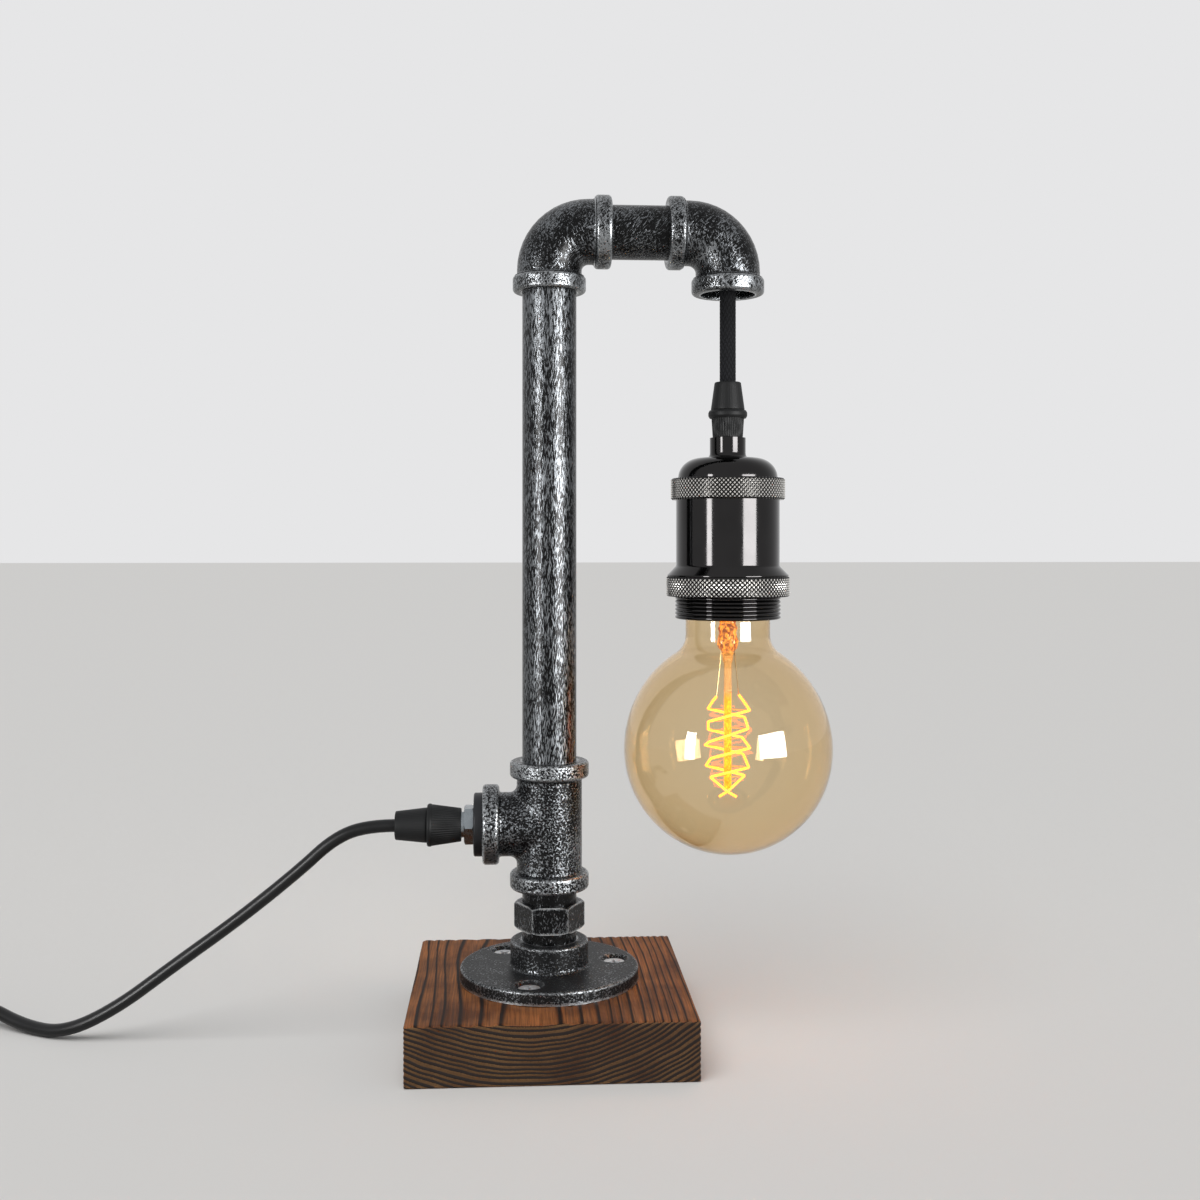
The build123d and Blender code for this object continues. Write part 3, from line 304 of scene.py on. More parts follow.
@dataclass(frozen=True)
class FlamedSoftwood(Finish):
    """Softwood, flamed and wire-brushed: thin dark latewood stands over warm earlywood, with fine fibre.

    Growth rings come from the block's own ring distance, so faces and end grain agree. End grain drinks more
    of the flame, so it is darker, and part of its darkness is painted shade. Fibre is drawn about ten times
    as coarse as real fibre, so that it shows.
    """

    early: str = "#8f5b35"
    # end-grain tones are darker for the flame and darker again as painted shade
    end_early_with_shade: str = "#775838"
    late: str = "#1a0e08"
    char: str = "#4c2b18"
    end_char_with_shade: float = 0.27
    end_span: Pair = (0.4, 0.8)
    late_rise: Pair = (0.66, 0.84)
    late_fall: Pair = (0.93, 1.0)
    ragged_rings: float = 0.18
    scorch_mm: float = 26.0
    scorch_span: Pair = (0.40, 0.66)
    scorch_most: float = 0.85
    fibre_mm: float = 0.5
    fibre_length_mm: float = 24.0
    fibre_span: Pair = (0.35, 0.68)
    fibre_dull: Pair = (0.42, 0.80)
    fibre_light: float = 1.25
    fibre_depth_mm: float = 0.16
    rough_span: Pair = (0.5, 0.75)
    shine: float = 0.15

    def dress(self, tree: Tree) -> Inputs:
        """Colour the growth rings, the fibre, the scorched patches and the end grain.

        Args:
            tree: Node tree of the material.

        Returns:
            Inputs of the surface shader.
        """
        spot = add_node(tree, "TexCoord", out="Object")
        along = {"Vector": spot, "Scale": (1.0, self.fibre_mm / self.fibre_length_mm, 1.0)}
        drawn = add_node(tree, "Mapping", along)
        fibre = add_node(tree, "TexNoise", {"Vector": drawn, "Scale": per_mm(self.fibre_mm), "Detail": 3.0,
                                            "Roughness": 0.65})
        ring = add_node(tree, "Attribute", out="Fac", attribute_name="ring")
        ragged = add_node(tree, "Math", (fibre, self.ragged_rings, ring), operation="MULTIPLY_ADD")
        phase = add_node(tree, "Math", (ragged,), operation="FRACT")
        facing = add_node(tree, "SeparateXYZ", (add_node(tree, "TexCoord", out="Normal"),), out="Y")
        facing = add_node(tree, "Math", (facing,), operation="ABSOLUTE")
        ends = add_node(tree, "MapRange", (facing, *self.end_span))
        # end grain darkened, partly by the flame and partly as painted shade
        darker = add_node(tree, "Math", (ends, self.end_char_with_shade, phase), operation="MULTIPLY_ADD")
        rise = add_node(tree, "MapRange", (darker, *self.late_rise), **EASED)
        fall = add_node(tree, "MapRange", (phase, *self.late_fall, 1.0, 0.0))
        late = add_node(tree, "Math", (rise, fall), operation="MULTIPLY")
        scorch = add_node(tree, "TexNoise", {"Vector": spot, "Scale": per_mm(self.scorch_mm), "Detail": 4.0})
        scorched = add_node(tree, "MapRange", (scorch, *self.scorch_span, 0.0, self.scorch_most))
        early = add_node(tree, "Mix", {0: ends, 6: linear(self.early), 7: linear(self.end_early_with_shade)}, **TINT)
        warm = add_node(tree, "Mix", {0: scorched, 6: early, 7: linear(self.char)}, **TINT)
        ringed = add_node(tree, "Mix", {0: late, 6: warm, 7: linear(self.late)}, **TINT)
        dullest = add_node(tree, "MapRange", (ends, 0.0, 1.0, *self.fibre_dull))
        streak = add_node(tree, "MapRange", (fibre, *self.fibre_span, dullest, self.fibre_light))
        return {
            "Base Color": add_node(tree, "Mix", {0: 1.0, 6: ringed, 7: streak}, blend_type="MULTIPLY",
                                   **TINT),
            "Roughness": add_node(tree, "MapRange", (fibre, 0.0, 1.0, *self.rough_span)),
            "Normal": add_node(tree, "Bump", {"Height": fibre, "Strength": 0.6,
                                              "Distance": self.fibre_depth_mm * MM}),
            "Specular IOR Level": self.shine}


@dataclass(frozen=True)
class Clouded(Finish):
    """An even surface with faint clouds of a second tone and gloss, and a fine grain."""

    tone: str
    cloud_tone: str
    rough: Pair
    cloud_mm: float
    cloud_span: Pair
    cloud_detail: float
    grain_mm: float
    grain_depth_mm: float
    grain_strength: float
    grain_detail: float
    metal: float
    shine: float

    def dress(self, tree: Tree) -> Inputs:
        """Vary tone and gloss with the clouds, and add the grain.

        Args:
            tree: Node tree of the material.

        Returns:
            Inputs of the surface shader.
        """
        spot = add_node(tree, "TexCoord", out="Object")
        cloud, grain = [
            add_node(tree, "TexNoise", {"Vector": spot, "Scale": per_mm(size), "Detail": detail})
            for size, detail in ((self.cloud_mm, self.cloud_detail), (self.grain_mm, self.grain_detail))]
        tones = {0: cloud, 6: linear(self.tone), 7: linear(self.cloud_tone)}
        return {
            "Base Color": add_node(tree, "Mix", tones, **TINT),
            "Roughness": add_node(tree, "MapRange", (cloud, *self.cloud_span, *self.rough)),
            "Normal": add_node(tree, "Bump", {"Height": grain, "Strength": self.grain_strength,
                                              "Distance": self.grain_depth_mm * MM}),
            "Metallic": self.metal, "Specular IOR Level": self.shine}


@dataclass(frozen=True)
class PlatedMetal(Clouded):
    """Plated or polished metal: an even mirror with a little handling haze and a trace of polishing grit.

    Black chrome is nearly a dark mirror; zinc and nickel are paler and softer. Grit is drawn coarser than
    real grit, so that it shows at this size.
    """

    tone: str = "#353434"
    cloud_tone: str = "#2e2d2d"
    rough: Pair = (0.07, 0.14)
    cloud_mm: float = 9.0
    cloud_span: Pair = (0.35, 0.75)
    cloud_detail: float = 4.0
    grain_mm: float = 0.35
    grain_depth_mm: float = 0.002
    grain_strength: float = 0.2
    grain_detail: float = 1.0
    metal: float = 1.0
    shine: float = 0.5


@dataclass(frozen=True)
class MouldedPolymer(Clouded):
    """Moulded or extruded plastic: even colour, spark-eroded grain and a soft sheen in faint clouds.

    Grain is drawn a few times as coarse as the mould's, so that it shows at this size.
    """

    tone: str = "#0d0e0f"
    cloud_tone: str = "#151617"
    rough: Pair = (0.44, 0.62)
    cloud_mm: float = 8.0
    cloud_span: Pair = (0.0, 1.0)
    cloud_detail: float = 3.0
    grain_mm: float = 0.45
    grain_depth_mm: float = 0.03
    grain_strength: float = 0.5
    grain_detail: float = 2.0
    metal: float = 0.0
    shine: float = 0.22


@dataclass(frozen=True)
class KnurledChrome(Finish):
    """Rolled diamond knurl under black chrome: pale points, partly worn plating and partly painted
    highlight, over valleys painted near black as painted shade.
    """

    # pale points: worn plating and painted highlight; near-black valleys: painted shade
    worn_and_highlight_point_tone: str = "#f0eeea"
    painted_shade_valley_tone: str = "#050505"
    lit_span: Pair = (0.35, 0.85)
    rough_span: Pair = (0.18, 0.34)
    haze_mm: float = 6.0

    def dress(self, tree: Tree) -> Inputs:
        """Paint the knurl's points pale, partly worn plating and partly painted highlight, and its valleys
        near black as painted shade, by the height that its mesh carries.

        Args:
            tree: Node tree of the material.

        Returns:
            Inputs of the surface shader.
        """
        spot = add_node(tree, "TexCoord", out="Object")
        haze = add_node(tree, "TexNoise", {"Vector": spot, "Scale": per_mm(self.haze_mm), "Detail": 3.0})
        raised = add_node(tree, "Attribute", out="Fac", attribute_name="raised")
        lit = add_node(tree, "MapRange", (raised, *self.lit_span))
        return {
            "Base Color": add_node(tree, "Mix", {0: lit, 6: linear(self.painted_shade_valley_tone),
                                                 7: linear(self.worn_and_highlight_point_tone)}, **TINT),
            "Roughness": add_node(tree, "MapRange", (haze, 0.0, 1.0, *self.rough_span)),
            "Metallic": 1.0}


@dataclass(frozen=True)
class BraidedTextile(Finish):
    """Braided polyester sleeve: matt black strands, painted lighter on their crowns as a painted sheen and
    near black between them as painted shade.

    Strands and yarn are drawn about twice as coarse as the real ones, so that the braid shows at this size.
    """

    # lighter crowns are a painted sheen; near-black valleys are painted shade
    crown: str = "#34353a"
    painted_shade_valley: str = "#030304"
    yarn_mm: float = 0.22
    yarn_depth_mm: float = 0.05
    rough: float = 0.78
    sheen: float = 0.05
    shine: float = 0.12

    def dress(self, tree: Tree) -> Inputs:
        """Paint strands lighter on their crowns and near black between them, as painted sheen and painted
        shade, by the height that the braid's mesh carries.

        Args:
            tree: Node tree of the material.

        Returns:
            Inputs of the surface shader.
        """
        spot = add_node(tree, "TexCoord", out="Object")
        raised = add_node(tree, "Attribute", out="Fac", attribute_name="raised")
        yarn = add_node(tree, "TexNoise", {"Vector": spot, "Scale": per_mm(self.yarn_mm), "Detail": 2.0})
        mixed = add_node(tree, "Math", (raised, yarn), operation="MULTIPLY")
        return {
            "Base Color": add_node(tree, "Mix", {0: mixed, 6: linear(self.painted_shade_valley), 7: linear(self.crown)},
                                   **TINT),
            "Normal": add_node(tree, "Bump", {"Height": yarn, "Strength": 0.4,
                                              "Distance": self.yarn_depth_mm * MM}),
            "Roughness": self.rough, "Sheen Weight": self.sheen, "Specular IOR Level": self.shine}


@dataclass(frozen=True)
class TintedGlass(Finish):
    """Blown glass: clear and thin face-on, deeper in colour where the eye looks along the wall."""

    tint: str = "#fffefb"
    wall_tint: str = "#ebc636"
    density: float = 500.0
    ior: float = 1.5
    ripple_mm: float = 16.0
    ripple_depth_mm: float = 0.4

    def dress(self, tree: Tree) -> Inputs:
        """Make the glass clear, with a blown ripple.

        Args:
            tree: Node tree of the material.

        Returns:
            Inputs of the surface shader.
        """
        spot = add_node(tree, "TexCoord", out="Object")
        ripple = add_node(tree, "TexNoise", {"Vector": spot, "Scale": per_mm(self.ripple_mm), "Detail": 1.0})
        return {
            "Normal": add_node(tree, "Bump", {"Height": ripple, "Strength": 0.12,
                                              "Distance": self.ripple_depth_mm * MM}),
            "Base Color": linear(self.tint), "Transmission Weight": 1.0, "Roughness": 0.0, "IOR": self.ior}

    def fill(self, tree: Tree) -> Inputs:
        """Colour the wall by its depth."""
        wall = {"Color": linear(self.wall_tint), "Density": self.density}
        return {"Volume": add_node(tree, "VolumeAbsorption", wall)}


@dataclass(frozen=True)
class PaintedGlowStem(Finish):
    """Pressed lead glass that pipes the filament's light, painted in as a glow: glowing amber folds with
    painted shade between them, clear glass, then a rod painted with a yellow glow.
    """

    # glow colours and dark folds are the filament's light and shade, painted on
    glass: str = "#ffdca6"
    painted_glow_fold: str = "#f7a63c"
    shade: str = "#6b2f08"
    rod: str = "#ffdc30"
    painted_glow_rod_fleck: str = "#ee9206"
    dark: str = "#000000"
    fold_mm: float = 1.3
    fold_height: float = 0.6
    fold_span: Pair = (0.42, 0.64)
    press_mm: Pair = (146.0, 150.0)
    rod_mm: Pair = (134.0, 130.5)
    clear_share: float = 0.7
    rough: float = 0.06
    strength: float = 0.9

    def dress(self, tree: Tree) -> Inputs:
        """Paint a glow on the folds of the press with painted shade between them, and paint the flecked rod
        glowing where the filament is.

        Args:
            tree: Node tree of the material.

        Returns:
            Inputs of the surface shader.
        """
        spot = add_node(tree, "TexCoord", out="Object")
        drawn = add_node(tree, "Mapping", {"Vector": spot, "Scale": (1.0, 1.0, self.fold_height)})
        folds = add_node(tree, "TexNoise", {"Vector": drawn, "Scale": per_mm(self.fold_mm), "Detail": 2.0,
                                            "Distortion": 1.4})
        lit = add_node(tree, "MapRange", (folds, *self.fold_span), **EASED)
        height = add_node(tree, "SeparateXYZ", (spot,), out="Z")
        above, low = [add_node(tree, "MapRange", (height, start * MM, full * MM))
                      for start, full in (self.press_mm, self.rod_mm)]
        press = add_node(tree, "Mix", {0: lit, 6: linear(self.shade), 7: linear(self.painted_glow_fold)}, **TINT)
        rod = add_node(tree, "Mix", {0: lit, 6: linear(self.painted_glow_rod_fleck), 7: linear(self.rod)}, **TINT)
        upper_glow = add_node(tree, "Mix", {0: above, 6: linear(self.dark), 7: press}, **TINT)
        upper = add_node(tree, "Mix", {0: above, 6: linear(self.glass), 7: press}, **TINT)
        return {
            "Base Color": add_node(tree, "Mix", {0: low, 6: upper, 7: linear(self.painted_glow_rod_fleck)}, **TINT),
            "Emission Color": add_node(tree, "Mix", {0: low, 6: upper_glow, 7: rod}, **TINT),
            "Emission Strength": self.strength, "Transmission Weight": self.clear_share,
            "Roughness": self.rough}


@dataclass(frozen=True)
class GlowingWire(Finish):
    """Tungsten wire at running heat: orange light, so strong that its core shows yellow."""

    hot: str = "#ff7e26"
    cool: str = "#ff6e18"
    strength: float = 9.0
    beat_mm: float = 3.0

    def dress(self, tree: Tree) -> Inputs:
        """Let the glow run a little hotter and cooler along the wire.

        Args:
            tree: Node tree of the material.

        Returns:
            Inputs of the surface shader.
        """
        spot = add_node(tree, "TexCoord", out="Object")
        beat = add_node(tree, "TexNoise", {"Vector": spot, "Scale": per_mm(self.beat_mm), "Detail": 1.0})
        return {
            "Emission Color": add_node(tree, "Mix", {0: beat, 6: linear(self.hot), 7: linear(self.cool)},
                                       **TINT),
            "Base Color": linear(self.cool), "Emission Strength": self.strength}


@dataclass(frozen=True)
class MattPaint(Finish):
    """Matt pale paint on the floor: even, and without a mirror image of the lamp."""

    tone: str = "#d9d8d6"
    rough: float = 0.9

    def dress(self, tree: Tree) -> Inputs:
        """Give the paint its tone and take its shine away."""
        return {"Base Color": linear(self.tone), "Roughness": self.rough, "Specular IOR Level": 0.0}


# Cast iron: grainy silver sparkle over black, and pale rims, with beads painted pale partly from wear and
# partly as painted highlight.
TEE_IRON = AntiquedIron("malleable_iron_tee_silver_brushed", bead_mm=14.2)
# The same, brushed round a bend: longer strokes that cross in two directions.
ELBOW_IRON = AntiquedIron("malleable_iron_elbow_silver_brushed", stroke_mm=0.50, stretch=5.0,
                          bare_level=0.603, leans=((0.0, 0.75, 0.3), (0.0, -0.5, 0.6)), relief_mm=0.13)
# Flat casting, duller and barer of silver on top than on its rim.
FLANGE_IRON = AntiquedIron("malleable_iron_flange_silver_brushed", lacquer="#141516", top_loss=0.045,
                           lacquer_rough=0.42, bare_level=0.60, relief_mm=0.2)
# Drawn pipe: smooth, with long fine strokes up its length that draw out the highlights.
DRAWN_PIPE = AntiquedIron("steel_pipe_drawn_silver_brushed", stroke_mm=0.42, stretch=8.0, bare_level=0.582,
                          leans=((0.0, 0.16, 0.0), (0.0, -0.10, 0.5)), relief_mm=0.07, patch_mm=18.0,
                          patch_gain=0.045, silver_rough=0.38)
# The arm's short pipe: darker, with slanting strokes.
ARM_PIPE = AntiquedIron("steel_nipple_drawn_silver_brushed", stroke_mm=0.48, stretch=6.0, bare_level=0.63,
                        leans=((0.0, 0.85, 0.0), (0.0, 0.55, 0.5)), relief_mm=0.12)
# Turned hexagon: nearly black flats between bright worn edges.
HEX_IRON = AntiquedIron("steel_hex_turned_silver_brushed", stroke_mm=0.55, stretch=3.5, bare_level=0.655,
                        leans=((0.0, 0.3, 0.0), (0.0, -0.4, 0.4)), edge_mm=1.1, relief_mm=0.16)
SOFTWOOD = FlamedSoftwood("softwood_flamed_brushed")
BLACK_CHROME = PlatedMetal("aluminium_black_chromed")
# knurl with painted highlight on its points and painted shade in its valleys
KNURL = KnurledChrome("aluminium_knurled_black_chromed")
# Zinc: cool grey, cloudy, neither matt nor mirror.
ZINC = PlatedMetal("steel_zinc_plated", tone="#9aa0a4", cloud_tone="#7d8488", rough=(0.22, 0.38),
                   cloud_mm=2.5, grain_depth_mm=0.02)
# Screw heads: pale and satin, so that they show in their dark holes.
SCREW_STEEL = PlatedMetal("steel_screw_bright_zinc", tone="#e2e3e4", cloud_tone="#c3c5c7", rough=(0.5, 0.62),
                          cloud_mm=1.5)
# Nickel on brass: warm pale metal with soft reflections.
NICKEL = PlatedMetal("brass_nickel_plated", tone="#cfc4a2", cloud_tone="#b09f76", rough=(0.18, 0.3),
                     cloud_mm=4.0)
# Drawn wire: a thin bright line, with the filament's warm light painted into its tone.
STEEL_WIRE = PlatedMetal("nickel_wire_drawn", tone="#e0d2bb", cloud_tone="#b9ab92", rough=(0.2, 0.3),
                         cloud_mm=3.0)
# Polyamide: matt black, paler and smoother where the bush was turned.
GRIP_PLASTIC = MouldedPolymer("polyamide_moulded_matt")
BUSH_PLASTIC = MouldedPolymer("polyamide_turned_bush", tone="#1d1e20", cloud_tone="#28292c",
                              rough=(0.34, 0.52), grain_mm=0.3)
# ABS: satin cases, and a glossier rocker that fingers have polished.
CASE_PLASTIC = MouldedPolymer("abs_moulded_satin", tone="#141516", cloud_tone="#1a1b1d", rough=(0.32, 0.5),
                              grain_depth_mm=0.015)
ROCKER_PLASTIC = MouldedPolymer("abs_moulded_gloss", tone="#1a1b1d", cloud_tone="#212225", rough=(0.22, 0.4),
                                grain_depth_mm=0.008)
# Woven strap: dull, with deep coarse grain.
STRAP_PLASTIC = MouldedPolymer("polyamide_strap_woven", tone="#1b1c1e", cloud_tone="#2a2b2e",
                               rough=(0.72, 0.9), grain_mm=0.7, grain_depth_mm=0.12)
# Extruded PVC: smooth and black, with one long soft highlight; the cores are brown.
CORD_PVC = MouldedPolymer("pvc_extruded_satin", tone="#070708", cloud_tone="#0c0d0e", rough=(0.26, 0.44),
                          grain_mm=1.2, grain_depth_mm=0.02, shine=0.3)
CORE_PVC = MouldedPolymer("pvc_core_extruded", tone="#6b3a1c", cloud_tone="#7c4624", rough=(0.37, 0.55))
# Glazed porcelain: warm white with clear highlights.
PORCELAIN = MouldedPolymer("porcelain_glazed", tone="#e9e4d8", cloud_tone="#ded7c8", rough=(0.1, 0.28),
                           grain_depth_mm=0.005, shine=0.5)
TEXTILE = BraidedTextile("polyester_braided_sleeve")
AMBER_GLASS = TintedGlass("soda_glass_blown_amber")
# stem glass with the filament's light painted on as a glow
STEM_GLASS = PaintedGlowStem("lead_glass_pressed_painted_glow")
TUNGSTEN = GlowingWire("tungsten_wire_glowing")
# Hooks don't carry current: the light that falls on them is painted on as a glow.
PAINTED_GLOW_HOOK = GlowingWire("molybdenum_hook_painted_glow", strength=2.0)
FLOOR_PAINT = MattPaint("paint_matt_pale")


# Meshes and pieces

def rounded(corners: Sequence[Corner], steps: int = 4, closed: bool = True) -> Outline:
    """Points of an outline whose corners are rounded where they say so.

    Args:
        corners: Corners as (radius, height) or (radius, height, rounding).
        steps: Points along each rounding.
        closed: Whether the last corner joins the first.

    Returns:
        Outline points as (radius, height).
    """
    spots = [Vector(corner[:2]) for corner in corners]
    points: Outline = []
    for k, corner in enumerate(corners):
        inside = closed or 0 < k < len(corners) - 1
        if len(corner) < 3 or not inside:
            points.append(tuple(spots[k]))
            continue
        back = spots[k - 1] - spots[k]
        ahead = spots[(k + 1) % len(spots)] - spots[k]
        turn = math.pi - back.angle(ahead)
        reach = min(corner[2] * math.tan(turn / 2), back.length / 2, ahead.length / 2)
        start = spots[k] + back.normalized() * reach
        stop = spots[k] + ahead.normalized() * reach
        for step in range(steps + 1):
            t = step / steps
            points.append(tuple(start * (1 - t) ** 2 + spots[k] * 2 * t * (1 - t) + stop * t ** 2))
    return points


def finer(outline: Outline, low: float, high: float, step: float) -> Outline:
    """Add points along the outline's upright runs between two heights.

    Args:
        outline: Closed outline as (radius, height).
        low: Lower end of the stretch.
        high: Upper end of the stretch.
        step: Largest spacing of points there.

    Returns:
        The outline with the added points.
    """
    points: Outline = []
    for a, b in zip(outline, outline[1:] + outline[:1]):
        points.append(a)
        within = low - SLACK <= min(a[1], b[1]) and max(a[1], b[1]) <= high + SLACK
        count = math.ceil(abs(b[1] - a[1]) / step) if within else 1
        points += [tuple(Vector(a).lerp(Vector(b), k / count)) for k in range(1, count)]
    return points


def turned(outline: Outline, segments: int, relief: Optional[Relief] = None,
           depth: float = 1.0) -> bpy.types.Mesh:
    """Mesh of a closed outline turned about its own axis.

    Args:
        outline: Closed outline as (radius, height), in millimetres.
        segments: Steps round the axis.
        relief: Radial offset in millimetres by (angle, radius, height).
        depth: Deepest relief, kept on the mesh as a height from 0 to 1.

    Returns:
        The mesh, in metres, about the Z axis.
    """
    verts: list[Point] = []
    raised: list[float] = []
    for k in range(segments):
        angle = 2 * math.pi * k / segments
        cosine, sine = math.cos(angle), math.sin(angle)
        for radius, height in outline:
            offset = relief(angle, radius, height) if relief else 0.0
            reach = max(0.0, radius + offset) * MM
            verts.append((reach * cosine, reach * sine, height * MM))
            raised.append(1 + offset / depth)
    count = len(outline)
    faces = []
    for k in range(segments):
        here, there = k * count, (k + 1) % segments * count
        for j in range(count):
            i = (j + 1) % count
            faces.append((here + j, there + j, there + i, here + i))
    mesh = bpy.data.meshes.new("turned")
    mesh.from_pydata(verts, [], faces)
    mesh.attributes.new("raised", "FLOAT", "POINT").data.foreach_set("value", raised)
    return mesh


def banded(low: float, high: float, least: float, pattern: Relief) -> Relief:
    """Keep a pattern to a band round a turned piece.

    Args:
        low: Lower end of the band.
        high: Upper end of the band.
        least: Radius inside which there is no pattern.
        pattern: Radial offset by angle, radius and height above the band's lower end.

    Returns:
        Radial offset by angle, radius and height.
    """
    def offset(angle: float, radius: float, height: float) -> float:
        """Offset of one point: the pattern's in the band, none outside it."""
        inside = low <= height <= high and radius >= least
        return pattern(angle, radius, height - low) if inside else 0.0
    return offset


def knurl(count: int, pitch: float, depth: float, groove: float = 0.75) -> Relief:
    """Diamond knurl, drawn about half as coarse again as a rolled one, so that it shows at this size.

    Args:
        count: Diamonds round the band.
        pitch: Height of a diamond.
        depth: Depth of the grooves.
        groove: Share of a diamond that slopes down to its grooves.

    Returns:
        Radial offset by angle, radius and height.
    """
    def offset(angle: float, radius: float, height: float) -> float:
        """Offset of one point, by the nearer of the two grooves that cross there.

        Args:
            angle: Angle round the band.
            radius: Radius there, which makes no difference.
            height: Height in the band.

        Returns:
            Radial offset.
        """
        across, up = count * angle / (2 * math.pi), height / pitch
        waves = [1 - abs(2 * (f % 1.0) - 1) for f in (across + up, across - up)]
        return -depth * (1 - min(1.0, min(waves) / groove))
    return offset


def ribs(count: int, depth: float) -> Relief:
    """Fine lengthwise ribs.

    Args:
        count: Ribs round the sleeve.
        depth: Depth between ribs.

    Returns:
        Radial offset by angle, radius and height.
    """
    def offset(angle: float, radius: float, height: float) -> float:
        """Offset of one point, by its angle alone."""
        return -depth * (0.5 - 0.5 * math.cos(count * angle)) ** 2
    return offset


def middle_of(node: str) -> Point:
    """Middle of a node's box, in metres."""
    low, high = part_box(node)
    return tuple((low + high) / 2)


def heights_of(node: str) -> Pair:
    """Lowest and highest level of a node, in millimetres."""
    low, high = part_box(node)
    return low.z / MM, high.z / MM


def half_width_of(node: str) -> float:
    """Half of a node's width along X, in millimetres."""
    low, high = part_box(node)
    return (high.x - low.x) / 2 / MM


def upright(node: str) -> Matrix:
    """Matrix that stands a turned piece on a node's upright axis."""
    x, y, _ = middle_of(node)
    return Matrix.Translation((x, y, 0))


def put(name: str, data: bpy.types.ID) -> bpy.types.Object:
    """Put an object into the scene.

    Args:
        name: Name of the object.
        data: Its mesh, curve, light or camera.

    Returns:
        The new object.
    """
    made = bpy.data.objects.new(name, data)
    bpy.context.scene.collection.objects.link(made)
    return made


def stand_in(name: str, data: bpy.types.ID, node: str, body: Optional[Body]) -> bpy.types.Object:
    """Put a piece into the scene that stands for a CAD node.

    Args:
        name: Name of the piece.
        data: Its mesh or curve, in the lamp's frame.
        node: CAD node that it replaces.
        body: Body that it rides on; none for a piece that rides on no body.

    Returns:
        The new object.
    """
    piece = put(name, data)
    if body is not None:
        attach(piece, body.value)
    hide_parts(node)
    LOG.info("made %s for %s", name, node)
    return piece


def place_piece(name: str, mesh: bpy.types.Mesh, finish: Finish, node: str, body: Optional[Body],
                stand: Matrix = Way.UP.value, sharp: float = 32.0) -> bpy.types.Object:
    """Clean a mesh, finish it, and let it stand for its CAD node.

    Points that coincide, as at a pole, are welded, and all faces turn outwards.

    Args:
        name: Name of the piece.
        mesh: Mesh about its own axis.
        finish: Surface finish.
        node: CAD node that the piece replaces.
        body: Body that it rides on; none for a piece that rides on no body.
        stand: Where the mesh's own axis stands on the lamp.
        sharp: Angle in degrees above which edges stay crisp.

    Returns:
        The new object.
    """
    mesh.transform(stand)
    work = bmesh.new()
    work.from_mesh(mesh)
    bmesh.ops.remove_doubles(work, verts=work.verts, dist=WELD)
    bmesh.ops.recalc_face_normals(work, faces=work.faces)
    work.to_mesh(mesh)
    work.free()
    mesh.name = name
    mesh.materials.append(finish.material())
    mesh.shade_smooth()
    mesh.set_sharp_from_angle(angle=math.radians(sharp))
    return stand_in(name, mesh, node, body)


def wire_curve(name: str, paths: Sequence[Sequence[Vector]], diameter: float, finish: Finish, facets: int,
               steps: int) -> bpy.types.Curve:
    """Round wires or cords, each on one smooth spline.

    Args:
        name: Name of the curve.
        paths: Control points of each wire, in metres.
        diameter: Thickness of the wire, in millimetres.
        finish: Surface finish.
        facets: Fineness round the wire.
        steps: Fineness along the wire.

    Returns:
        The curve.
    """
    curve = bpy.data.curves.new(name, "CURVE")
    curve.dimensions = "3D"
    curve.bevel_depth = diameter / 2 * MM
    curve.bevel_resolution = facets
    curve.resolution_u = steps
    curve.use_fill_caps = True
    for path in paths:
        spline = curve.splines.new("NURBS")
        spline.points.add(len(path) - 1)
        for point, spot in zip(spline.points, path):
            point.co = (*spot, 1.0)
        spline.order_u = 3
        spline.use_endpoint_u = True
    curve.materials.append(finish.material())
    return curve


def dress_nodes(finish: Finish, *names: str) -> None:
    """Give CAD nodes a finish.

    Args:
        finish: Surface finish.
        names: Nodes that keep their CAD shape.
    """
    for name in names:
        for slot in frame["nodes"][name].material_slots:
            slot.material = finish.material()
        LOG.info("dressed %s as %s", name, finish.name)


# Sub-assemblies

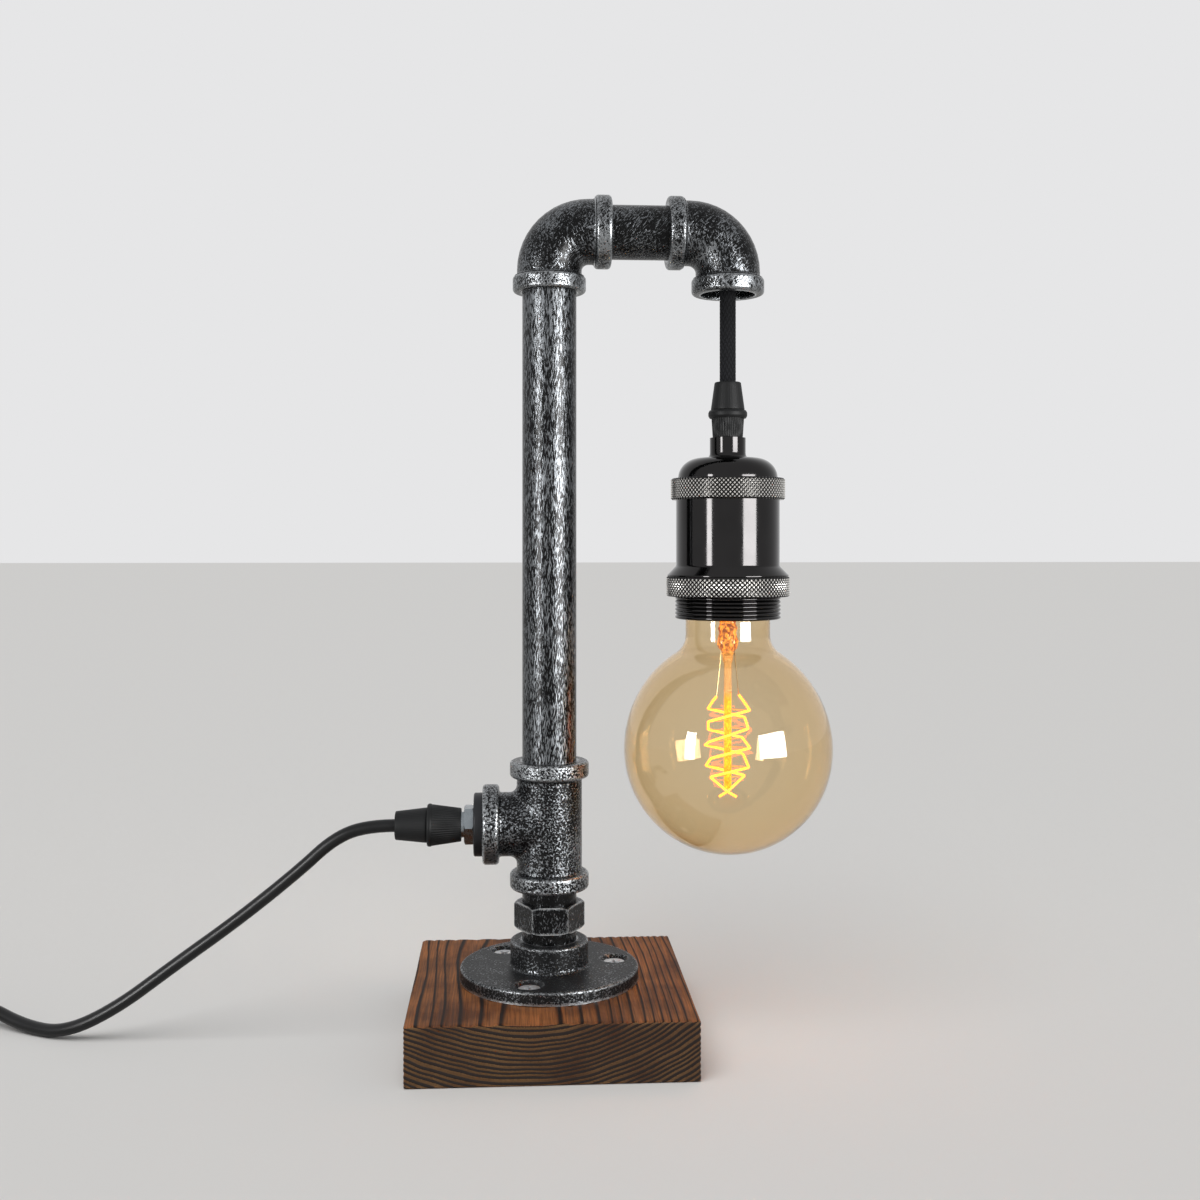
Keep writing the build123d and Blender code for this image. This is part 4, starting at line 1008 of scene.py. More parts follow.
@dataclass
class WoodBlock:
    """Base block sawn from softwood, with brushed growth rings on all faces."""

    ring_pitch: float = 1.75
    pith_x: float = -11.0
    pith_z: float = 100.0
    wander: float = 1.3
    wander_length: float = 34.0
    wander_along: float = 0.6
    ripple_length: float = 8.5
    ripple_along: float = 0.125
    ripple_share: float = 3.0
    season: float = 4.5
    uneven_years: float = 0.7
    brushing: float = 0.38
    soft_share: float = 0.68
    edge_round: float = 0.9
    steps: Point = (0.5, 1.5, 0.3)
    sharp: float = 60.0

    def ring(self, spot: Vector) -> float:
        """Count growth rings from the pith to a point.

        Args:
            spot: Point on the block, in millimetres.

        Returns:
            Number of rings, with its fraction.
        """
        slow = Vector((spot.x, spot.y * self.wander_along, spot.z)) / self.wander_length
        quick = Vector((spot.x, spot.y * self.ripple_along, spot.z)) / self.ripple_length
        sway = noise.noise(slow) * self.wander + noise.noise(quick) * self.wander / self.ripple_share
        reach = math.hypot(spot.x - self.pith_x, spot.z - self.pith_z) + sway
        years = noise.noise(Vector((reach / self.season, 0.0, 0.0))) * self.uneven_years
        return (reach + years) / self.ring_pitch

    def mesh(self) -> bpy.types.Mesh:
        """Box of fine faces whose soft wood is brushed away between the hard rings.

        Returns:
            The mesh in the lamp's frame, with the ring count of each point.
        """
        low, high = [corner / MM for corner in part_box("base_block")]
        size = high - low
        counts = [max(2, round(side / step)) for side, step in zip(size, self.steps)]
        index: dict[tuple[int, ...], int] = {}
        verts: list[Point] = []
        rings: list[float] = []
        faces: list[tuple[int, ...]] = []
        core_low = low + Vector((1, 1, 1)) * self.edge_round
        core_high = high - Vector((1, 1, 1)) * self.edge_round

        def corner(grid: tuple[int, ...]) -> int:
            """Find a grid point on the block's skin, or make it when it is first asked for.

            Args:
                grid: Steps along the block's three sides.

            Returns:
                Index of the point.
            """
            if grid not in index:
                flat = Vector([low[a] + size[a] * grid[a] / counts[a] for a in range(3)])
                core = Vector([min(max(flat[a], core_low[a]), core_high[a]) for a in range(3)])
                out = (flat - core).normalized()
                ring = self.ring(flat)
                hollow = math.sin(math.pi * min(1.0, ring % 1.0 / self.soft_share)) ** 2
                depth = 0.0 if flat.z <= core_low.z else hollow * self.brushing
                index[grid] = len(verts)
                verts.append(tuple((core + out * (self.edge_round - depth)) * MM))
                rings.append(ring)
            return index[grid]

        for axis in range(3):
            u, v = [a for a in range(3) if a != axis]
            for end in (0, counts[axis]):
                for i in range(counts[u]):
                    for j in range(counts[v]):
                        loop = []
                        for di, dj in ((0, 0), (1, 0), (1, 1), (0, 1)):
                            grid = [0, 0, 0]
                            grid[axis], grid[u], grid[v] = end, i + di, j + dj
                            loop.append(corner(tuple(grid)))
                        faces.append(tuple(loop))
        mesh = bpy.data.meshes.new("block")
        mesh.from_pydata(verts, [], faces)
        mesh.attributes.new("ring", "FLOAT", "POINT").data.foreach_set("value", rings)
        return mesh

    def build(self) -> None:
        """Make the block and put it under the flange."""
        place_piece("wood_block", self.mesh(), SOFTWOOD, "base_block", Body.STAND,
                    sharp=self.sharp)


@dataclass
class PipeStand:
    """Flange, nipples, tee, pipes and elbows, which keep their CAD shape."""

    across_upright: Point = (1.0, 1.0, 0.0)
    across_level: Point = (0.0, 1.0, 1.0)

    def build(self) -> None:
        """Finish the fittings and the flange's screws."""
        for iron, node, first, second in (
                (TEE_IRON, "tee", "upright_pipe", "gland_tube"),
                (ELBOW_IRON, "upright_elbow", "upright_pipe", "arm_nipple"),
                (ELBOW_IRON, "outlet_elbow", "holder_shell", "arm_nipple")):
            bores = ((middle_of(first), self.across_upright), (middle_of(second), self.across_level))
            dress_nodes(replace(iron, name=iron.name + "_" + node, bores=bores), node)
        dress_nodes(FLANGE_IRON, "floor_flange")
        dress_nodes(DRAWN_PIPE, "upright_pipe")
        dress_nodes(ARM_PIPE, "arm_nipple")
        dress_nodes(HEX_IRON, "hex_nipple")
        dress_nodes(SCREW_STEEL, "flange_screws")


@dataclass
class CordGrip:
    """Two-part plastic cord grip: a ribbed sleeve with a collar, and a cone that clamps the cord."""

    nodes: tuple[str, str]
    seat: float
    sleeve: float
    sleeve_length: float
    collar: float
    collar_length: float
    cone: float
    mouth: float
    cone_length: float
    cord: float
    cord_play: float = 0.2
    tube: float = 10.2
    socket: float = 6.0
    thread: float = 9.0
    thread_length: float = 3.0
    thread_play: float = 0.1
    rib_count: int = 48
    rib_points: int = 6
    rib_depth: float = 0.28
    rib_start: float = 0.8
    rib_least: float = 5.1
    rib_rows: int = 4
    cone_rib_depth: float = 0.06
    cone_rib_end: float = 1.2
    cone_rib_least: float = 4.8
    cone_rows: int = 8
    waist: float = 0.5
    proud: Pair = (0.3, 0.7)
    shoulder: float = 0.02
    fine_round: float = 0.3
    edge_round: float = 0.6

    def body_outline(self) -> Outline:
        """Draw the sleeve and its collar, whose middle stands proud.

        Returns:
            Closed outline as (radius, height).
        """
        low, top = self.sleeve_length, self.sleeve_length + self.collar_length
        recess = self.thread / 2 + self.thread_play
        hole = self.cord / 2 + self.cord_play
        ledge = self.collar / 2 - self.waist
        collar = [(self.collar / 2, low + self.collar_length * share, self.fine_round)
                  for share in self.proud]
        return rounded([
            (self.tube / 2, 0), (self.seat / 2, 0, self.fine_round), (self.sleeve / 2, low),
            (ledge, low + self.shoulder), *collar, (ledge, top, self.fine_round), (recess, top),
            (recess, top - self.thread_length), (hole, top - self.thread_length), (hole, self.socket),
            (self.tube / 2, self.socket)])

    def nut_outline(self) -> Outline:
        """Draw the cone with its thread.

        Returns:
            Closed outline as (radius, height).
        """
        hole = self.cord / 2 + self.cord_play
        return rounded([
            (hole, -self.thread_length), (self.thread / 2, -self.thread_length), (self.thread / 2, 0),
            (self.cone / 2, 0, self.edge_round), (self.mouth / 2, self.cone_length, self.edge_round),
            (hole, self.cone_length)])

    def build(self, way: Way, seat_place: Vector, body: Body) -> None:
        """Make the sleeve and the cone on their axis.

        Args:
            way: Direction from the seat to the mouth.
            seat_place: Middle of the seat, in metres.
            body: Body that carries the grip.
        """
        segments = self.rib_count * self.rib_points
        stand = Matrix.Translation(seat_place) @ way.value
        raised = stand @ Matrix.Translation((0, 0, (self.sleeve_length + self.collar_length) * MM))
        sleeve, cone = self.nodes
        relief = banded(self.rib_start, self.sleeve_length, self.rib_least,
                        ribs(self.rib_count, self.rib_depth))
        step = (self.sleeve_length - self.rib_start) / self.rib_rows
        outline = finer(self.body_outline(), 0, self.sleeve_length, step)
        mesh = turned(outline, segments, relief, self.rib_depth)
        place_piece(sleeve + "_ribbed", mesh, GRIP_PLASTIC, sleeve, body, stand)
        relief = banded(self.rib_start, self.cone_length - self.cone_rib_end, self.cone_rib_least,
                        ribs(self.rib_count, self.cone_rib_depth))
        outline = finer(self.nut_outline(), 0, self.cone_length, self.cone_length / self.cone_rows)
        mesh = turned(outline, segments, relief, self.cone_rib_depth)
        place_piece(cone + "_cone", mesh, GRIP_PLASTIC, cone, body, raised)


@dataclass
class MainsEntry:
    """Bush, lock nut, threaded tube and cord grip in the tee's outlet, and the wiring behind them."""

    grip: CordGrip = field(default_factory=lambda: CordGrip(
        ("cord_grip_body", "cord_grip_nut"), seat=12.9, sleeve=16.0, sleeve_length=11.3, collar=16.6,
        collar_length=1.9, cone=13.7, mouth=11.0, cone_length=12.5, cord=5.0, waist=0.35, rib_depth=0.16))

    def build(self) -> None:
        """Finish the entry's metal and plastic, and make the grip."""
        dress_nodes(BUSH_PLASTIC, "outlet_bush")
        dress_nodes(ZINC, "gland_locknut", "gland_tube")
        dress_nodes(CORD_PVC, "mains_sheath_end")
        dress_nodes(CORE_PVC, "supply_cores", "cable_cores", "holder_cores")
        dress_nodes(NICKEL, "butt_splices")
        _, y, z = middle_of("cord_grip_body")
        seat = Vector((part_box("cord_grip_body")[1].x, y, z))
        self.grip.build(Way.OUTWARD, seat, Body.STAND)


@dataclass
class PendantCable:
    """Textile cable from the elbow's mouth to the holder, in two lengths that meet between the two swing
    joints.
    """

    strands: int = 12
    lay: float = 2.9
    strand_depth: float = 0.3
    strand_crown: float = 1.5
    diameter: float = 6.4
    rows_a_lay: int = 10
    points_a_strand: int = 8
    bend_length: float = 11.0

    def braid(self, angle: float, radius: float, height: float) -> float:
        """Braid the skin: strands of two hands pass over each other in turn.

        Args:
            angle: Angle round the cable.
            radius: Radius there, in millimetres.
            height: Height there, in millimetres.

        Returns:
            Radial offset, in millimetres.
        """
        if radius < self.diameter / 4:
            return 0.0
        across, up = self.strands * angle / (2 * math.pi), height / self.lay
        right, left = across + up, across - up
        over = (math.floor(right) + math.floor(left)) % 2 == 0
        crown = abs(math.sin(math.pi * (right if over else left)))
        return -self.strand_depth * (1 - crown) ** self.strand_crown

    def length(self, name: str, node: str, low: float, high: float) -> bpy.types.Object:
        """Make a straight length of cable on the pendant's axis.

        Args:
            name: Name of the piece.
            node: CAD node that it replaces.
            low: Lower end, in millimetres.
            high: Upper end, in millimetres.

        Returns:
            The new object, which rides on no body.
        """
        rows = max(2, round((high - low) / self.lay * self.rows_a_lay))
        side = [(self.diameter / 2, low + (high - low) * k / rows) for k in range(rows + 1)]
        mesh = turned([(0, low), *side, (0, high)], self.strands * self.points_a_strand, self.braid,
                      self.strand_depth)
        return place_piece(name, mesh, TEXTILE, node, None, upright("holder_shell"))

    def build(self) -> None:
        """Make an upper length and a lower one that meet midway between the two swing joints' heights."""
        dress_nodes(TEXTILE, "cable_in_pipe")
        pivots = {joint["name"]: joint["pos_m"] for joint in frame["joints"] if joint["type"] == "hinge"}
        side, fore = pivots["pendant_swing_side"], pivots["pendant_swing_fore"]
        meet = (side[2] + fore[2]) / 2 / MM
        upper = self.length("cable_braid_upper", "cable_upper", meet, heights_of("cable_upper")[1])
        lower = self.length("cable_braid_lower", "cable_lower", heights_of("cable_lower")[0], meet)
        for piece, joint, before, after in ((upper, side, Body.STAND, Body.LINK),
                                            (lower, fore, Body.LINK, Body.PENDANT)):
            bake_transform(piece)


@dataclass
class Lampholder:
    """Turned holder: domed cap with a knurled band, flared shell with a thread, and a knurled ring."""

    neck: float = 14.2
    neck_round: float = 0.5
    neck_foot: float = 22.4
    neck_fillet: float = 2.1
    neck_height: float = 8.0
    dome: float = 39.4
    dome_height: float = 8.1
    dome_steps: int = 18
    band: float = 45.3
    band_bevel: float = 0.7
    roof: float = 1.0
    tube_hole: float = 10.2
    seat: float = 40.1
    spigot: float = 39.9
    spigot_height: float = 7.0
    bore: float = 38.0
    shell: float = 41.0
    shell_round: float = 1.4
    flare: float = 48.0
    flare_height: float = 4.2
    flare_rim: float = 0.6
    flare_rounds: Pair = (0.35, 0.3)
    flare_play: float = 0.05
    thread: float = 41.8
    thread_depth: float = 0.55
    thread_turns: int = 11
    thread_form: tuple[Pair, ...] = ((1.0, 0.02), (0.2, 0.22), (0.0, 0.38), (0.0, 0.56), (0.2, 0.72))
    lip_bore: float = 35.6
    lip_height: float = 4.0
    ring: float = 49.0
    ring_play: float = 0.3
    ring_bevel: float = 0.6
    knurl_count: int = 84
    knurl_pitch: float = 1.78
    knurl_depth: float = 0.55
    knurl_points: int = 6
    knurl_slack: float = 0.01
    knurl_reach: float = 0.1
    smooth_segments: int = 128
    grip: CordGrip = field(default_factory=lambda: CordGrip(
        ("holder_grip_body", "holder_grip_nut"), seat=11.9, sleeve=12.9, sleeve_length=7.8, collar=15.4,
        collar_length=3.1, cone=13.5, mouth=10.4, cone_length=11.2, cord=6.4, rib_count=40,
        cone_rib_depth=0.03))

    def dome_curve(self, low: float) -> Outline:
        """Draw the dome from the foot of the neck out and down to the band, as a quarter of an oval.

        Args:
            low: Height of the band's top.

        Returns:
            Points as (radius, height).
        """
        inner, outer = self.neck_foot / 2, self.dome / 2
        angles = [math.pi / 2 * k / self.dome_steps for k in range(self.dome_steps + 1)]
        return [(inner + (outer - inner) * math.sin(angle), low + self.dome_height * math.cos(angle))
                for angle in angles]

    def cap_outline(self, low: float, high: float, band_top: float) -> Outline:
        """Draw the cap, with its neck, dome, band and socket for the shell.

        Args:
            low: Height of the cap's rim.
            high: Height of the neck's end.
            band_top: Height of the band's top.

        Returns:
            Closed outline as (radius, height).
        """
        dome_top = high - self.neck_height
        neck = rounded([(self.neck / 2, high, self.neck_round), (self.neck / 2, dome_top, self.neck_fillet),
                        (self.neck_foot / 2, dome_top)], closed=False)
        band, bevel = self.band / 2, self.band_bevel
        return [
            (self.tube_hole / 2, high), *neck[:-1], *self.dome_curve(band_top), (band - bevel, band_top),
            (band, band_top - bevel), (band, low + bevel), (band - bevel, low), (self.seat / 2, low),
            (self.seat / 2, low + self.spigot_height), (self.bore / 2, low + self.spigot_height),
            (self.neck_foot / 2, dome_top - self.roof), (self.tube_hole / 2, dome_top - self.roof)]

    def shell_outline(self) -> Outline:
        """Draw the shell, from its lip up the rounded thread, over the flare and to the spigot.

        Returns:
            Closed outline as (radius, height).
        """
        low, high = heights_of("holder_shell")
        body_top = high - self.spigot_height
        thread_top = heights_of("shade_ring")[1] + self.flare_play
        pitch = (thread_top - low) / self.thread_turns
        crest, flare, shell = self.thread / 2, self.flare / 2, self.shell / 2
        ridges = [(crest - self.thread_depth * deep, low + (k + up) * pitch)
                  for k in range(self.thread_turns) for deep, up in self.thread_form]
        skin = rounded([
            (crest - self.thread_depth, thread_top), (flare, thread_top, self.flare_rounds[0]),
            (flare, thread_top + self.flare_rim, self.flare_rounds[1]),
            (shell, thread_top + self.flare_height, self.shell_round), (shell, body_top)], closed=False)
        lip, bore, spigot = self.lip_bore / 2, self.bore / 2, self.spigot / 2
        return [(lip, low), *ridges, *skin, (spigot, body_top), (spigot, high), (bore, high),
                (bore, low + self.lip_height), (lip, low + self.lip_height)]

    def ring_outline(self, low: float, high: float) -> Outline:
        """Draw the shade ring.

        Args:
            low: Height of its lower face.
            high: Height of its upper face.

        Returns:
            Closed outline as (radius, height).
        """
        inside, outside, bevel = self.thread / 2 + self.ring_play, self.ring / 2, self.ring_bevel
        return [(inside, low), (outside - bevel, low), (outside, low + bevel), (outside, high - bevel),
                (outside - bevel, high), (inside, high)]

    def knurled(self, name: str, node: str, body: Body, outline: Outline, low: float, high: float,
                radius: float) -> None:
        """Make a turned piece with a diamond knurl on its widest band, which has its own finish.

        Args:
            name: Name of the piece.
            node: CAD node that it replaces.
            body: Body that it rides on.
            outline: Outline of the whole piece.
            low: Lower end of the band.
            high: Upper end of the band.
            radius: Radius of the band.
        """
        cut = banded(low, high, radius - self.knurl_slack,
                     knurl(self.knurl_count, self.knurl_pitch, self.knurl_depth))
        fine = finer(outline, low, high, self.knurl_pitch / self.knurl_points)
        mesh = turned(fine, self.knurl_count * self.knurl_points, cut, self.knurl_depth)
        place_piece(name, mesh, BLACK_CHROME, node, body, upright("holder_shell"))
        mesh.materials.append(KNURL.material())
        x, y, _ = middle_of("holder_shell")
        for face in mesh.polygons:
            reach = math.hypot(face.center.x - x, face.center.y - y) / MM
            if low <= face.center.z / MM <= high and reach > radius - self.knurl_depth - self.knurl_reach:
                face.material_index = 1

    def build(self) -> None:
        """Make the turned pieces and the grip, and finish what is inside."""
        low, high = heights_of("holder_cap")
        band_top = high - self.neck_height - self.dome_height
        self.knurled("holder_cap_turned", "holder_cap", Body.PENDANT, self.cap_outline(low, high, band_top),
                     low + self.band_bevel, band_top - self.band_bevel, self.band / 2)
        place_piece("holder_shell_turned", turned(self.shell_outline(), self.smooth_segments), BLACK_CHROME,
                    "holder_shell", Body.PENDANT, upright("holder_shell"))
        ring_low, ring_high = heights_of("shade_ring")
        self.knurled("shade_ring_knurled", "shade_ring", Body.RING, self.ring_outline(ring_low, ring_high),
                     ring_low + self.ring_bevel, ring_high - self.ring_bevel, self.ring / 2)
        x, y, _ = middle_of("holder_shell")
        self.grip.build(Way.UP, Vector((x, y, high * MM)), Body.PENDANT)
        dress_nodes(ZINC, "holder_tube", "terminal_screws")
        dress_nodes(PORCELAIN, "ceramic_insert")
        dress_nodes(NICKEL, "screw_sleeve", "centre_contact", "terminal_blocks")


@dataclass
class GlobeBulb:
    """Lit globe bulb: amber glass, screw cap, stem, wires and a zigzag filament."""

    radius: float = 41.2
    centre_below_neck: float = 52.7
    shoulder: float = 45.6
    neck: float = 33.4
    fillet: float = 8.5
    wall: float = 0.9
    throat_round: float = 3.0
    cap_root: float = 24.4
    cap_wall: float = 0.5
    play: float = 0.1
    skirt: float = 4.2
    steps: int = 40
    segments: int = 144
    glass_sharp: float = 50.0
    button_segments: int = 48
    button_round: float = 1 / 3
    stem: float = 8.6
    stem_sharp: float = 60.0
    stem_step: float = 0.5
    stem_below_mouth: float = 13.2
    stem_flare: tuple[Pair, ...] = ((0.0, -4.5), (1.2, -2.2))
    stem_mouth: tuple[Pair, ...] = ((-0.8, 0.0), (0.0, 3.0))
    press_form: tuple[Pair, ...] = (
        (-1.2, 0.0), (-0.2, 1.2), (0.0, 3.0), (-0.1, 5.5), (-0.7, 7.4), (-0.2, 9.2), (-0.9, 11.2))
    press_pinch: float = 0.9
    press_ripple: float = 0.5
    press_held: float = 0.3
    ripple_round: float = 2.0
    ripple_height: float = 2.4
    ripple_mean: float = 0.5
    rod: float = 3.0
    rod_reach: float = 2.0
    rod_end: Pair = (0.7, 0.5)
    rod_form: tuple[Pair, ...] = ((0.0, -5.0), (0.5, -3.2), (0.9, -1.6), (0.8, -0.6))
    wire_half_width: float = 8.2
    wire_half_depth: float = 4.6
    wire_narrow: float = 0.95
    wire_glare: float = 0.95
    wire_bends: Point = (0.12, 0.88, 1.0)
    half_turns: int = 4
    top_drop: float = 1.5
    lead_drop: float = 1.8
    side_drop: float = 3.8
    cross_drop: float = 3.7
    tip_drop: float = 7.5
    tie_rise: float = 1.2
    kink: float = 1.8
    kink_seed: int = 1795828994
    kink_steps: Point = (1.7, 3.1, 0.5)
    knot: float = 3.4
    knot_drop: float = 0.8
    knot_gap: float = 0.4
    hook_wire: float = 0.3
    lead_wire: float = 0.5
    lead_spacing: float = 5.2
    lead_share: float = 0.6

    def side(self, inset: float, centre: float, rim: float) -> Outline:
        """Draw one surface of the wall, from the lowest point up to the cap.

        Args:
            inset: Distance inwards from the outer surface.
            centre: Height of the globe's middle.
            rim: Height of the cap's rim.

        Returns:
            Points as (radius, height), in millimetres.
        """
        globe, shoulder, fillet = self.radius - inset, self.shoulder - inset, self.fillet + inset
        shoulder_x = self.radius - self.shoulder
        neck = self.neck / 2 - inset
        fillet_x = neck + fillet
        rise = math.sqrt((self.shoulder + self.fillet) ** 2 - (fillet_x - shoulder_x) ** 2)
        lean = math.atan2(rise, fillet_x - shoulder_x)
        few = self.steps // 3
        bottom = [-math.pi / 2 * (1 - k / self.steps) for k in range(self.steps + 1)]
        bulge = [lean * k / self.steps for k in range(1, self.steps + 1)]
        hollow = [math.pi + lean * (1 - k / few) for k in range(1, few + 1)]
        points = [(x + reach * math.cos(angle), height + reach * math.sin(angle))
                  for x, height, reach, angles in ((0, centre, globe, bottom),
                                                   (shoulder_x, centre, shoulder, bulge),
                                                   (fillet_x, centre + rise, fillet, hollow))
                  for angle in angles]
        cap = self.cap_root / 2 - self.cap_wall - self.play - inset
        throat = rounded([points[-1], (neck, centre + self.centre_below_neck, self.throat_round),
                          (cap, rim, self.throat_round / 2), (cap, rim + self.skirt)], closed=False)
        return points[:-1] + throat

    def contact_button(self) -> None:
        """Make the rounded button that touches the holder's contact."""
        low, high = heights_of("bulb_contact")
        low += self.play
        radius = (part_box("bulb_contact")[1].x - middle_of("bulb_glass")[0]) / MM
        outline = rounded([(0, low), (radius, low), (radius, high, radius * self.button_round), (0, high)])
        place_piece("contact_button", turned(outline, self.button_segments), NICKEL,
                    "bulb_contact", Body.BUTTON, upright("bulb_glass"))

    def stem_press(self) -> None:
        """Make the stem: a flare in the cap, a pinched and rippled press, and the rod below it."""
        low, high = heights_of("glass_stem")
        low -= self.rod_reach
        mouth = heights_of("holder_shell")[0]
        foot = mouth - self.stem_below_mouth
        flare = half_width_of("glass_stem")
        stem, rod = self.stem / 2, self.rod / 2

        def folds(angle: float, radius: float, height: float) -> float:
            """Pinch the press from front and back, and ripple it.

            Args:
                angle: Angle round the stem.
                radius: Radius there, in millimetres.
                height: Height there, in millimetres.

            Returns:
                Radial offset, in millimetres.
            """
            share = min(1.0, max(0.0, (radius - rod) / (stem - rod)))
            share *= 1.0 if height < mouth else self.press_held
            spot = Vector((self.ripple_round * math.cos(angle), self.ripple_round * math.sin(angle),
                           height / self.ripple_height))
            ripple = noise.noise(spot) - self.ripple_mean
            return share * (self.press_ripple * ripple - self.press_pinch * math.sin(angle) ** 2)

        skin = [(0, low), (rod * self.rod_end[0], low), (rod, low + self.rod_end[1])]
        for radius, level, form in ((rod, foot, self.rod_form), (stem, foot, self.press_form),
                                    (stem, mouth, self.stem_mouth), (stem, high, self.stem_flare)):
            skin += [(radius + out, level + up) for out, up in form]
        skin += [(flare, high), (0, high)]
        mesh = turned(finer(rounded(skin), foot, mouth, self.stem_step), self.segments, folds)
        place_piece("stem_press", mesh, STEM_GLASS, "glass_stem", Body.BULB,
                    upright("glass_stem"), self.stem_sharp)

    def strand(self, way: int) -> list[Vector]:
        """Bend one strand of the filament, from its lead wire down to the tip.

        Args:
            way: -1 for the strand that starts at the left and front, 1 for the other.

        Returns:
            Corners from the bulb's axis, in millimetres.
        """
        top = heights_of("filament")[1] - self.top_drop
        lead = Vector((self.wire_half_width, self.wire_half_depth, 0)) * way * self.lead_share
        corners = [(-1, -1), (-1, 1), (1, 1), (1, -1)]
        spots = [lead + Vector((0, 0, top))]
        drop = self.lead_drop
        along_step, side_step, level = self.kink_steps
        for k in range(2 * self.half_turns + 1):
            across, along = corners[k % 4]
            sway = noise.noise_vector(Vector((k * along_step + way, way * side_step, level))) * self.kink
            spots.append(Vector((-way * across * self.wire_half_width * self.wire_narrow + sway.x,
                                 -way * along * self.wire_half_depth + sway.y, top - drop + sway.z)))
            drop += self.cross_drop if k % 2 else self.side_drop
        tip = top - drop - self.tip_drop + self.side_drop
        tie = Vector((0, way * self.knot_gap, tip + self.tie_rise))
        return [*spots, tie, Vector((-way * self.knot, way * self.knot_gap, tip - self.knot_drop))]

    def wires(self, name: str, paths: Sequence[Sequence[Vector]], diameter: float, finish: Finish,
              node: str) -> None:
        """Bend wires along straight runs with small rounded corners.

        Args:
            name: Name of the piece.
            paths: Corners of each wire from the bulb's axis, in millimetres.
            diameter: Thickness of the wire.
            finish: Surface finish.
            node: CAD node that the wires replace.
        """
        x, y, _ = middle_of("bulb_glass")
        axis = Vector((x, y, 0))
        runs = []
        for path in paths:
            spots = [path[0]]
            for a, b in zip(path, path[1:]):
                spots += [a.lerp(b, share) for share in self.wire_bends]
            runs.append([spot * MM + axis for spot in spots])
        stand_in(name, wire_curve(name, runs, diameter, finish, facets=2, steps=4), node, Body.BULB)

    def build(self) -> None:
        """Make the glass, the button, the stem and the wires, and finish the cap."""
        centre = heights_of("bulb_glass")[0] + self.radius
        rim = heights_of("bulb_cap")[0]
        outer, inner = [self.side(inset, centre, rim) for inset in (0, self.wall)]
        glass = place_piece("globe_glass", turned([*outer, *reversed(inner)], self.segments), AMBER_GLASS,
                            "bulb_glass", Body.BULB, upright("bulb_glass"), self.glass_sharp)
        glass.visible_shadow = False
        dress_nodes(NICKEL, "bulb_cap")
        self.contact_button()
        dress_nodes(CASE_PLASTIC, "bulb_insulator")
        self.stem_press()
        noise.seed_set(self.kink_seed)
        strands = [self.strand(way) for way in (-1, 1)]
        press = heights_of("lead_wires")[1]
        leads = [[Vector((way * self.lead_spacing / 2, 0, press)), strand[0]]
                 for way, strand in zip((-1, 1), strands)]
        hooks = [[Vector((0, 0, spot.z)), spot] for strand in strands for spot in strand[2:-2]]
        self.wires("lead_wires_drawn", leads, self.lead_wire, STEEL_WIRE, "lead_wires")
        self.wires("filament_wire", strands, self.wire_glare, TUNGSTEN, "filament")
        self.wires("filament_hooks", hooks, self.hook_wire, PAINTED_GLOW_HOOK, "filament_supports")


